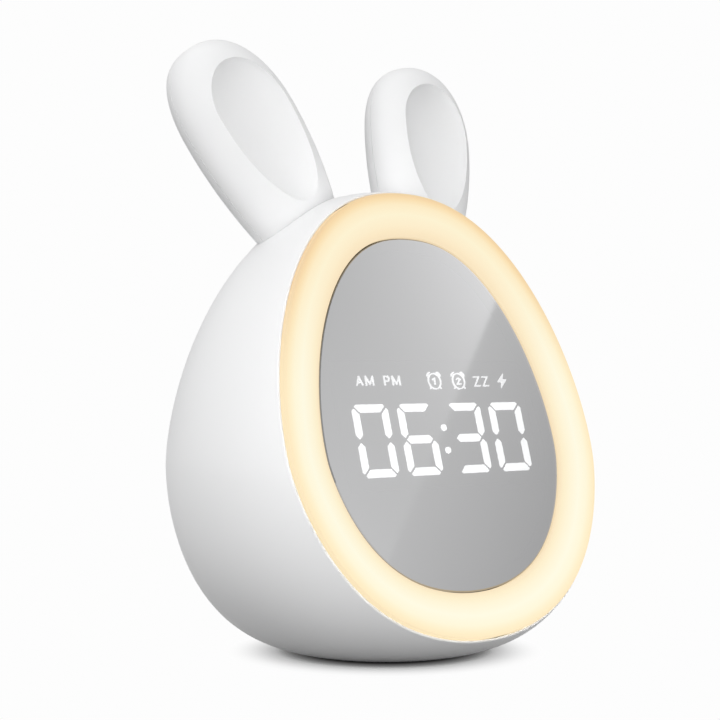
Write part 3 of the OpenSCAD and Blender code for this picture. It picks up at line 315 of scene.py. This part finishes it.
def face_rim(loop):
    """The rim: from the egg round a small edge, flat to the ring's recess, then down its wall."""
    v = (loop[:, 2] - widest) * np.cos(lean) + (loop[:, 1] - face_y) * np.sin(lean)
    edge = face_outline(np.arctan2(loop[:, 0], v - face_centre))
    order = edge[::-1] if np.cross(edge[1] - edge[0], edge[2] - edge[1]) > 0 else edge
    inward = into(order)[::-1] if order is not edge else into(edge)
    def at(inset, h):
        """The face's outline moved in by inset, at height h over the face."""
        p = edge + inset * inward
        return from_face(p[:, 0], p[:, 1], h)
    turn = rounded(loop, at(0, 0), at(face_edge, 0))
    wall_rows = [at(rim_w - rim_edge, 0), at(rim_w, -rim_edge), at(rim_w, -rim_step), at(rim_w, -recess_deep)]
    return np.concatenate([turn, wall_rows])


def seam_rim(loop, depth, edge, turn):
    """The seam's edge: a small rounding from the egg onto the upright plane, then inward. turn is 1
    where the piece lies in front of the seam and -1 behind it."""
    middle = loop.mean(0)
    run = np.roll(loop, -1, 0) - np.roll(loop, 1, 0)
    side = np.stack([run[:, 2], np.zeros(len(run)), -run[:, 0]], -1)
    side /= np.linalg.norm(side, axis=1, keepdims=True)
    side *= np.sign(((middle - loop) * side).sum(1, keepdims=True))
    on, corner_in, end_in = loop + (0, turn * edge, 0), 0.1 * edge, 1.3 * edge
    return np.concatenate([rounded(loop, on + corner_in * side, on + end_in * side), [on + depth * side]])


def turned(section, cols=96):
    """A section of (radius, height) pairs turned once about an upright axis. It faces outward where the
    section runs with the solid on its left."""
    r, h = np.asarray(section, float).T[..., None]
    a = np.linspace(0, 2 * np.pi, cols, endpoint=False)
    return np.stack(np.broadcast_arrays(r * np.sin(a), -r * np.cos(a), h), -1)


pad_r, pad_t, pad_edge = 16.05 * mm, 1.35 * mm, 0.1 * mm
under = turned([(0, pad_t), (pad_r, pad_t), (pad_r, foot + pad_edge), (pad_r + pad_edge, foot),
                (float(egg(np.array(foot))), foot)], cols=2 * (half.shape[1] - 1))
body = make_piece("egg_shell", [(half, False, False), (mirrored, False, True), (under, True, False),
                                (face_rim(face_loop), True, True),
                                (seam_rim(seam_loop, wall, seam_edge, 1), True, False)],
                  stands_for=["body_shell"], sharp=50)
abs_white = moulded("white_abs", white)
dress(body, abs_white)

# ---- Rubber pad -------------------------------------------------------------------------------------
# A die-cut disc of soft rubber, glued into its recess under the shell.
f = Finish("pad_rubber")
dress("base_pad", f.shade(Base_Color=f.tint(f.noise(900), (0.018, 0.018, 0.019), (0.035, 0.035, 0.037)),
                          Roughness=0.85, Normal=f.bump(f.noise(1800, 3), 0.02 * mm)))

# ---- Ears -------------------------------------------------------------------------------------------
# Each ear is two thin ABS shells clipped along a seam round its side, a little in front of its middle
# plane: a front with a dish whose rim stays crisp, and a plain rear. Two screws from inside the egg hold it.
ear_at = np.array([18.6, 10.5, 99.742]) * mm
ear_splay, ear_lean, ear_turn = np.radians((18, 25, 5.5))
ear_len, ear_w, ear_front_t, ear_rear_t = 52 * mm, 15.9 * mm, 12.2 * mm, 7 * mm
ear_seam, ear_gap = 2.2 * mm, 0.02 * mm
groove, groove_w, seam_in = 0.07 * mm, 0.12 * mm, 0.25 * mm
dish_w, dish_deep, dish_mid, dish_up, dish_down = 10.6 * mm, 6.4 * mm, 30.2 * mm, 13.2 * mm, 25.8 * mm
dish_cols, dish_least, dish_most = 0.5, 0.4, 0.8
ear_widest, ear_power, ear_round, foot_narrower = 0.58, 2.2, 2.4, 0.3
section_power, thin_power, dish_power = 2.1, 0.6, 0.7


def ear_width(s):
    """Share of the ear's full width at share s of its length."""
    over = np.clip((s - ear_widest) / (1 - ear_widest), 0, 1)
    return np.where(s > ear_widest, (1 - over ** ear_power) ** (1 / ear_round),
                    1 - foot_narrower * ((ear_widest - s) / ear_widest) ** 2)


def seam_y_at(s):
    """Depth of the seam at length share s: in front of the middle plane, less so where the ear thins."""
    return -ear_seam * ear_width(s) ** thin_power


def ear_front(s, w):
    """Front of the ear at length share s and width share w (-1 to 1): half a superellipse with an
    elliptic dish sunk into it. A fixed share of the columns lies in the dish, so that one follows its
    edge."""
    b, t, z = ear_w * ear_width(s), (ear_front_t - ear_seam) * ear_width(s) ** thin_power, s * ear_len
    q = (z - dish_mid) / np.where(z > dish_mid, dish_up, dish_down)
    r = np.clip(dish_w * np.sqrt(np.maximum(0, 1 - q * q)), dish_least * b, dish_most * b)
    turn = np.arccos(r / np.maximum(b, 1e-9))
    rim = b * np.cos(turn * np.clip((1 - np.abs(w)) / (1 - dish_cols), 0, 1))
    x = np.where(np.abs(w) < dish_cols, r * w / dish_cols, np.sign(w) * rim)
    y = -t * (1 - np.clip(np.abs(x) / np.maximum(b, 1e-9), 0, 1) ** section_power) ** (1 / section_power)
    sink = dish_deep * np.maximum(0, 1 - (x / dish_w) ** 2 - q * q) ** dish_power
    return np.stack([x, np.minimum(0, y + sink) + seam_y_at(s), z], -1)


def ear_rear(s, w):
    """Rear of the ear: half a superellipse that narrows and thins with the ear's width."""
    b, t = ear_w * ear_width(s), (ear_rear_t + ear_seam) * ear_width(s) ** thin_power
    c = np.sin(np.pi / 2 * w)
    y = t * (1 - np.abs(c) ** section_power) ** (1 / section_power) + seam_y_at(s)
    return np.stack([b * c, y, s * ear_len], -1)


def on_ear(p, side):
    """Turns an ear's own points about its root, and mirrors them for the left ear."""
    x, y, z = p[..., 0], p[..., 1], p[..., 2]
    x, y = x * np.cos(ear_turn) - y * np.sin(ear_turn), x * np.sin(ear_turn) + y * np.cos(ear_turn)
    x, z = x * np.cos(ear_splay) + z * np.sin(ear_splay), z * np.cos(ear_splay) - x * np.sin(ear_splay)
    y, z = y * np.cos(ear_lean) + z * np.sin(ear_lean), z * np.cos(ear_lean) - y * np.sin(ear_lean)
    return (np.stack([x, y, z], -1) + ear_at) * (side, 1, 1)


def ear_grid(shape, cols, side, count=230):
    """An ear's shell from where each column leaves the egg to the tip, in rows that gather at the tip,
    with its edge turned in at the seam by a fraction of a millimetre."""
    w = np.concatenate([[-1], np.linspace(-1, 1, cols), [1]])
    def inside(s):
        """Whether the columns' points at length shares s lie in the egg."""
        p = on_ear(shape(s, w), 1)
        return np.hypot(p[:, 0], p[:, 1]) < egg(p[:, 2])
    in_egg, out_of_egg, tip, gather = -0.3, 0.5, 0.99999, 1.8
    start = halve(inside, np.full(len(w), in_egg), np.full(len(w), out_of_egg)) + ear_gap / ear_len
    s = start + (tip - start) * (1 - (1 - np.linspace(0, 1, count)) ** gather)[:, None]
    p = shape(s, np.broadcast_to(w, s.shape))
    back = 1 if shape is ear_rear else -1
    seam = p[:, [0, -1]] * (1 - seam_in / ear_w, 1, 1)
    from_seam = np.abs(p[:, 1:-1, 1] - seam_y_at(s[:, 1:-1]))
    p[:, 1:-1, 1] += back * groove * np.exp(-from_seam / groove_w)
    p[:, [0, -1]] = seam
    p[-1, :, 1] = 0
    return on_ear(p, side)


for side, word in ((-1, "left"), (1, "right")):
    front = make_piece(f"{word}_ear_cup", [(ear_grid(ear_front, 130, side), False, side < 0)],
                       stands_for=[f"{word}_ear_front"], sharp=60)
    rear = make_piece(f"{word}_ear_back", [(ear_grid(ear_rear, 60, side), False, side > 0)],
                      stands_for=[f"{word}_ear_rear"], sharp=60)
    dress(front, abs_white)
    dress(rear, abs_white)

# ---- Front frame and ring board ---------------------------------------------------------------------
# Behind the ring: a black, light-tight ABS trough screwed to the shell, with a white board of warm
# lamps in it.
steel = Finish("zinc_screw")
steel = steel.shade(Base_Color=(0.62, 0.62, 0.6), Metallic=1.0, Roughness=0.28 + 0.12 * steel.noise(500),
                    Normal=steel.bump(steel.noise(1500), 2e-6))
dress("front_frame", moulded("frame_abs", (0.012, 0.012, 0.013), rough=0.6))
dress("ring_board", moulded("white_mask", (0.85, 0.85, 0.83), rough=0.35, grain=1200))
dress("ring_lamps", moulded("warm_phosphor", (0.8, 0.62, 0.2), rough=0.4))
dress("frame_screws", steel)

# ---- Light ring -------------------------------------------------------------------------------------
# An opal acrylic ring that slopes in to the mirror and is slightly crowned. The lamps behind it make it
# glow: whitest along its middle, warmer at both sides, and warmer all over toward its top.
ring_edge, ring_sink, ring_crown, ring_deep = 1.2 * mm, 0.4 * mm, 0.4 * mm, 1.6 * mm
ring_round, ring_out, ring_in = 0.3 * mm, 0.65 * mm, 11.3 * mm
dense_loop = face_outline(np.linspace(0, 2 * np.pi, 720, endpoint=False))
dense_in = into(dense_loop)


def carry(section):
    """A section of (inset, height) pairs carried once round the face's outline."""
    section = np.asarray(section)
    p = dense_loop[None] + section[:, :1, None] * dense_in[None]
    return from_face(p[..., 0], p[..., 1], section[:, 1:])


def ring_section():
    """The ring's section as (inset, height) pairs: up the outer wall, round its corner, over the slope
    with its parabolic crown, round the inner corner and down inside."""
    turn = np.linspace(np.pi, np.pi / 2, 7)
    bends = np.stack([ring_round * (1 + np.cos(turn)), ring_round * (np.sin(turn) - 1)], -1)
    outer = (ring_out, ring_edge) + bends
    inner = (ring_in, -ring_sink) + bends[::-1] * (-1, 1)
    k = np.linspace(0, 1, 40)[1:-1]
    crown = np.stack([ring_out + ring_round + (ring_in - ring_out - 2 * ring_round) * k,
                      (1 - k) * ring_edge - k * ring_sink + ring_crown * (1 - (2 * k - 1) ** 2)], -1)
    under = [(ring_in, -ring_deep), (ring_out, -ring_deep)]
    return np.concatenate([under, outer, crown, inner, under[:1]])


ring_points = ring_section()
width_share = np.clip((ring_points[:, 0] - ring_out) / (ring_in - ring_out), 0, 1)
ring = make_piece("glow_ring", [(carry(ring_points), True, True, width_share[:, None])],
                  stands_for=["light_ring"], sharp=60)
f = Finish("opal_acrylic")
side_glow = f.ramp(f.across(), (0.0, (0.84, 0.68, 0.42)), (0.05, (0.86, 0.71, 0.44)),
                   (0.14, (0.86, 0.745, 0.49)), (0.28, (0.86, 0.80, 0.59)), (0.5, (0.86, 0.825, 0.65)),
                   (0.72, (0.86, 0.785, 0.575)), (0.87, (0.85, 0.74, 0.50)), (1.0, (0.81, 0.65, 0.42)))
top_glow = f.ramp(f.across(), (0.0, (0.73, 0.52, 0.28)), (0.07, (0.79, 0.56, 0.28)),
                  (0.14, (0.825, 0.62, 0.335)), (0.27, (0.855, 0.715, 0.46)), (0.5, (0.86, 0.77, 0.54)),
                  (0.74, (0.855, 0.73, 0.495)), (0.87, (0.84, 0.69, 0.45)), (1.0, (0.81, 0.65, 0.42)))
warm_from, warm_to = 60 * mm, 96 * mm
glow = f.tint(f.rise(f.part(f.place(), 2), warm_from, warm_to), side_glow, top_glow)
dress(ring, f.shade(Base_Color=f.tint(f.noise(40), (0.10, 0.095, 0.08), (0.11, 0.105, 0.09)),
                    Roughness=0.4 + 0.05 * f.noise(80), Emission_Color=glow, Emission_Strength=1.0,
                    Normal=f.bump(f.noise(3000), 1e-6)))

# ---- Display ----------------------------------------------------------------------------------------
# A black light block with resin inlays, soldered to its board. The time's segments and the icons glow
# white; the unlit segments are smoked resin. Lamps, driver chips and screws sit behind.
dress("light_block", moulded("black_block", (0.012, 0.012, 0.013), rough=0.6, grain=1500))
dress("dark_segments", moulded("smoked_resin", (0.013, 0.013, 0.014), rough=0.55))
for name, strength in (("lit_segments", 2.0), ("status_icons", 1.5)):
    f = Finish(f"{name}_glow")
    dress(name, f.shade(Base_Color=(0.7, 0.7, 0.7), Roughness=0.5, Emission_Strength=strength,
                        Emission_Color=f.tint(f.noise(300), (0.96, 0.98, 1), (1, 1, 1))))
dress("display_lamps", moulded("lamp_phosphor", (0.8, 0.8, 0.55), rough=0.4))
green = moulded("green_mask", (0.02, 0.11, 0.05), rough=0.3, grain=700, depth=8e-6, spread=0.2)
chip_black = moulded("chip_epoxy", (0.02, 0.02, 0.021), rough=0.5, grain=3000)
dress("display_board", green)
dress("display_chips", chip_black)
dress("display_screws", steel)

# ---- Mirror -----------------------------------------------------------------------------------------
# Half-silvered acrylic, 1 mm thick with a polished bevel, held by a ring of black tape. It reflects the
# room and lets a quarter of the light through, so that the lit digits show.
lens_gap, mirror_t, mirror_low, mirror_bevel, bevel_foot = 0.15 * mm, 1 * mm, 0.6 * mm, 0.35 * mm, 0.02 * mm
mirror_rings, silvered = 150, 0.75
# Heights over which the painted shade on the lens's edge comes in.
edge_shade_from, edge_shade_to = 60 * mm, 80 * mm


def lens_grid():
    """The lens: its edge, its bevel, then outlines that shrink to the middle. The edge and the bevel's foot
    carry 1 in the attribute, which marks where the shade is painted, and the face 0."""
    middle, lens_in = np.array([0, face_centre]), ring_in + lens_gap
    low = dense_loop + lens_in * dense_in
    top = dense_loop + (lens_in + mirror_bevel) * dense_in
    edge = [(low, -mirror_t), (low, -mirror_bevel - bevel_foot), (low, -mirror_bevel)]
    shares = np.concatenate([np.linspace(1, 0.02, mirror_rings), [0]])
    flat = [(middle + (top - middle) * k, 0.0) for k in shares]
    grid = np.stack([from_face(p[:, 0], p[:, 1], h - mirror_low) for p, h in edge + flat])
    return grid, True, True, (np.arange(len(grid)) < len(edge))[:, None]


lens = make_piece("mirror_plate", [lens_grid()], stands_for=["mirror_lens"], sharp=20)
f = Finish("half_silver")
silver = f.tint(f.noise(30), (0.60, 0.60, 0.606), (0.624, 0.624, 0.63))
# Painted shade: toward the top, the lens's edge and bevel turn near black, standing in for the shadow that
# the ring's inner edge casts into the gap.
painted_edge_shade = f.across() * f.rise(f.part(f.place(), 2), edge_shade_from, edge_shade_to)
dress(lens, f.shade(Base_Color=f.tint(painted_edge_shade, silver, (0.04, 0.04, 0.04)), Metallic=1.0, Alpha=silvered,
                    Roughness=0.03 + 0.015 * f.noise(90), Normal=f.bump(f.noise(25, 1), 2e-7)))
dress("mirror_tape", moulded("black_foam_tape", (0.01, 0.01, 0.01), rough=0.9, grain=900))

# ---- Rear cover -------------------------------------------------------------------------------------
# The moulded back panel closes the shell behind. It has the speaker's grille, the holes for the keys and
# the socket, and three screw wells.


def smoothed(node, body="clock", sharp=6):
    """A copy of a CAD node's mesh in its place, with its loose triangles joined. It is shaded smooth
    where they meet at less than sharp, in degrees, so that its flat faces stay flat."""
    copy = bpy.data.objects.new(f"{node}_skin", nodes[node].data.copy())
    copy.data.materials.clear()
    build = bmesh.new()
    build.from_mesh(copy.data)
    bmesh.ops.remove_doubles(build, verts=build.verts, dist=0.001 * mm)
    build.to_mesh(copy.data)
    build.free()
    copy.data.polygons.foreach_set("use_smooth", np.ones(len(copy.data.polygons), bool))
    copy.data.set_sharp_from_angle(angle=np.radians(sharp))
    bpy.context.scene.collection.objects.link(copy)
    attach(copy, body)
    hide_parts(node)
    return copy


dress(smoothed("rear_cover"), abs_white)


def facing_back(p, x, z):
    """Points made about an upright axis, laid so that the axis runs backward through (x, z)."""
    return np.stack([x - p[..., 0], p[..., 2], z + p[..., 1]], -1)


def bend(r, h, radius, steps=7):
    """Section points of a quarter-round edge that ends a wall of radius r at height h."""
    a = np.linspace(0, np.pi / 2, steps)
    return [(r - radius + radius * np.cos(t), h - radius + radius * np.sin(t)) for t in a]


# Pan-head screws with a cross recess, at the bottom of their wells.
screw_r, screw_len, head_y = 1 * mm, 7.5 * mm, 36.45 * mm
head_r, head_t, head_dome, head_edge = 2.3 * mm, 1.4 * mm, 0.25 * mm, 0.5 * mm
slot_half, slot_reach, slot_deep = 0.32 * mm, 1.35 * mm, 0.8 * mm
slot_wall, slot_end = 0.08 * mm, 0.2 * mm
screw_places = [(-20 * mm, 26 * mm), (20 * mm, 26 * mm), (0, 80 * mm)]


def cross_screw():
    """A screw turned about an upright axis, its head a flat dome, with two crossed slots pressed in."""
    shank = [(0, -screw_len), (screw_r, -screw_len), (screw_r, 0), (head_r, 0)]
    dome = [(head_r * k, head_t - head_dome * k * k) for k in np.linspace(0.75, 0, 40)]
    p = turned(shank + bend(head_r, head_t - head_dome, head_edge) + dome, 128)
    x, y = np.abs(p[..., 0]), np.abs(p[..., 1])
    pressed = np.clip((slot_half - np.minimum(x, y)) / slot_wall, 0, 1)
    pressed *= np.clip((slot_reach - np.maximum(x, y)) / slot_end, 0, 1) * (p[..., 2] > head_t / 2)
    p[..., 2] -= slot_deep * pressed
    return p


screws = [(facing_back(cross_screw(), x, z) + (0, head_y, 0), True, False) for x, z in screw_places]
dress(make_piece("cover_screw_heads", screws, stands_for=["cover_screws"], sharp=25), steel)
dress("ear_screws", steel)

# ---- Keys -------------------------------------------------------------------------------------------
# Five round ABS caps with softened edges and a raised mark each, guided by the holes of the cover. A
# flange behind the cover holds each one, and its stem rests on the plunger of a switch.
key_r, key_top, key_edge, stem_r, stem_y = 3.75 * mm, 44.9 * mm, 0.4 * mm, 1.5 * mm, 38 * mm
flange_r, flange_t, flange_y = 4.65 * mm, 0.8 * mm, 41.7 * mm
mark_h, mark_w, mark_len, mark_edge = 0.2 * mm, 0.55 * mm, 3.4 * mm, 0.06 * mm
set_mark_r, alarm_mark_r, light_mark_r = 2 * mm, 1.4 * mm, 0.9 * mm
key_row, key_low, pitch = 67.0007 * mm, 56.4007 * mm, 11.2 * mm
cap = [(0, stem_y), (stem_r, stem_y), (stem_r, flange_y - flange_t), (flange_r, flange_y - flange_t),
       (flange_r, flange_y), (key_r, flange_y)] + bend(key_r, key_top, key_edge) + [(0, key_top)]
key_white = moulded("key_abs", (0.80, 0.80, 0.80), rough=0.38, grain=3200, depth=3e-6)


def round_mark(outer, inner=0.0):
    """A raised disc, or a ring if it has an inner radius, on a key's top."""
    top = key_top + mark_h
    side = [(outer, key_top)] + bend(outer, top, mark_edge, 4)
    return turned(side + ([(inner, top), (inner, key_top)] if inner else [(0, top)]))


def bar_mark(turn):
    """A raised bar with round ends, a quarter turn about the key's axis if turn is set."""
    p = round_mark(mark_w / 2)
    a = np.linspace(0, 2 * np.pi, p.shape[1], endpoint=False)
    p[..., 0] += np.where(np.sin(a) > 0, 1, -1) * (mark_len - mark_w) / 2
    return np.stack([-p[..., 1], p[..., 0], p[..., 2]], -1) if turn else p


for word, x, z, marks in (("set", pitch, key_row, [round_mark(set_mark_r, set_mark_r - mark_w)]),
                          ("alarm", 0, key_row, [round_mark(alarm_mark_r, alarm_mark_r - mark_w)]),
                          ("light", -pitch, key_row, [round_mark(light_mark_r)]),
                          ("minus", pitch, key_low, [bar_mark(turn=False)]),
                          ("plus", 0, key_low, [bar_mark(turn=False), bar_mark(turn=True)])):
    grids = [(facing_back(p, x, z), True, False) for p in [turned(cap)] + marks]
    key = make_piece(f"{word}_cap", grids, body=f"{word}_button", stands_for=[f"{word}_key"],
                     sharp=35)
    dress(key, key_white)
    dress(f"{word}_plunger", chip_black)

# ---- Electronics ------------------------------------------------------------------------------------
# What the shell hides: the main board with its chips and switches, the socket, the speaker, the cell in
# its tray, and the wiring between them.
dress("main_board", green)
dress("main_chips", chip_black)
for name in ("board_screws", "key_switches", "usb_socket", "speaker_magnet", "tray_screws"):
    dress(name, steel)
for name in ("usb_tongue", "speaker_cone", "speaker_gasket", "battery_leads", "speaker_leads"):
    dress(name, chip_black)
dress("speaker_basket", moulded("basket", (0.1, 0.1, 0.1)))
dress("battery_cell", moulded("cell_wrap", (0.05, 0.16, 0.33), rough=0.35))
dress("battery_tray", moulded("tray_abs", (0.12, 0.12, 0.12)))
dress("ribbon_cable", moulded("ribbon", (0.6, 0.6, 0.6)))

# ---- Room -------------------------------------------------------------------------------------------
# A white sweep under the clock: a painted contact shadow, black where the two nearly touch, then paper with a
# soft shadow, then the white of the background. What matte surfaces see of it is dark, so that the underside
# falls off.
floor = bpy.data.objects.new("floor", bpy.data.meshes.new("floor"))
floor.data.from_pydata([(-4, -4, 0), (4, -4, 0), (4, 4, 0), (-4, 4, 0)], [], [(0, 1, 2, 3)])
bpy.context.scene.collection.objects.link(floor)
paper_white, contact_gap = 0.982, 2 * mm
shadow_from, shadow_to = 18 * mm, 38 * mm
f = Finish("sweep")
seen = f.node("ShaderNodeLightPath", out="Is Camera Ray") + f.node("ShaderNodeLightPath", out="Is Glossy Ray")
x, y = f.part(f.place(), 0), f.part(f.place(), 1)
far = f.rise((x * x + y * y) ** 0.5, shadow_from, shadow_to)
# Painted shadow: where ambient occlusion over a couple of millimetres is low, the floor turns into a
# near-black sheet.
clear = f.node("ShaderNodeAmbientOcclusion", {"samples": 8}, {"Distance": contact_gap}, out="AO")
contact_shadow_mask = f.node("ShaderNodeMapRange", values={"Value": clear, "From Min": 0.4, "From Max": 0.66})
painted_contact_shadow, unlit, sheet = (f.node("ShaderNodeBsdfDiffuse", values={"Color": (grey, grey, grey, 1)})
                         for grey in (0.01, 0.08, 0.8))
glare = f.node("ShaderNodeEmission", values={"Color": (paper_white, paper_white, paper_white, 1)})
f.surface(f.blend(seen, unlit, f.blend(far, f.blend(contact_shadow_mask, painted_contact_shadow, sheet), glare)))
dress(floor, f.material)

# The room is an even white, dimmer to what it lights than to the camera.
ambient = 0.53
world = bpy.data.worlds.new("room")
world.use_nodes = True
bpy.context.scene.world = world
tree = world.node_tree
room = tree.nodes["Background"]
path = tree.nodes.new("ShaderNodeLightPath")
dimmer = tree.nodes.new("ShaderNodeMapRange")
dimmer.inputs["To Min"].default_value, dimmer.inputs["To Max"].default_value = ambient, paper_white
tree.links.new(path.outputs["Is Camera Ray"], dimmer.inputs["Value"])
tree.links.new(dimmer.outputs[0], room.inputs["Strength"])
room.inputs["Color"].default_value = (1, 1, 1, 1)
bpy.context.scene.view_settings.view_transform = "Standard"


def lamp(name, azimuth, height, watts, size=0.35, away=1.1, aim=0.06):
    """A square area lamp aimed at a height over the floor's middle, at an azimuth from the clock's front
    and a height over the aim, both in degrees."""
    a, e = np.radians((azimuth, height))
    toward = np.array([np.sin(a) * np.cos(e), -np.cos(a) * np.cos(e), np.sin(e)])
    light = bpy.data.lights.new(name, "AREA")
    light.shape, light.size, light.energy = "SQUARE", size, watts
    held = bpy.data.objects.new(name, light)
    held.location = (0, 0, aim) + away * toward
    held.rotation_euler = (np.radians(90 - height), 0, np.radians(azimuth))
    held.visible_camera = held.visible_glossy = False
    bpy.context.scene.collection.objects.link(held)


lamp("upper left", -70, 52, 2.0)
lamp("upper back", -120, 52, 2.1)
lamp("back", 180, 52, 0.9)
lamp("upper right", 60, 52, 1.1)
lamp("front left", -38, 35, 0.6)
for azimuth, watts in ((-75, 0.3), (-38, 0.18), (0, 0.36), (40, 0.08)):
    lamp(f"low {azimuth}", azimuth, 5.5, watts, size=0.1, away=0.36, aim=0.02)

# A softbox that the mirror reflects: brighter toward its upper right, and a step dimmer past the edge
# of a flag that crosses it. It lies parallel to the mirror, so that its picture there is to scale.
box_h, box_power, flag_v, flag_slope = 0.5, 2.15, 9.35 * mm, 1.257
box_u, box_v, box_cols, box_rows = (-50 * mm, 50 * mm), (-40 * mm, 70 * mm), 200, 220


def softbox_grid():
    """The softbox, laid out on the mirror's plane as (u, v) and then spread from the camera's mirror
    image onto its own plane. Its light is a polynomial of u and v on each side of the flag's edge."""
    eye = np.array(camera.location) - (0, face_y, widest)
    eye_v = eye @ (0, np.sin(lean), np.cos(lean))
    eye_h = eye @ (0, -np.cos(lean), np.sin(lean))
    u, v = np.meshgrid(np.linspace(*box_u, box_cols), np.linspace(*box_v, box_rows))
    spread = (box_h + eye_h) / eye_h
    beyond_flag = u - (v - flag_v) / flag_slope >= 0
    before, beyond = 0.527 + 1.5 * u + v + 70 * u * v + 40 * u * u, 0.464 - 2.55 * u + 1.87 * v
    at = from_face(eye[0] + (u - eye[0]) * spread, eye_v + (v - eye_v) * spread, box_h)
    return at, False, True, np.where(beyond_flag, beyond, before)


softbox = make_piece("softbox", [softbox_grid()], body=None)
f = Finish("softbox_cloth")
f.surface(f.node("ShaderNodeEmission", values={"Strength": f.across() * box_power}))
dress(softbox, f.material)
for way in ("camera", "diffuse", "shadow", "transmission"):
    setattr(softbox, f"visible_{way}", False)
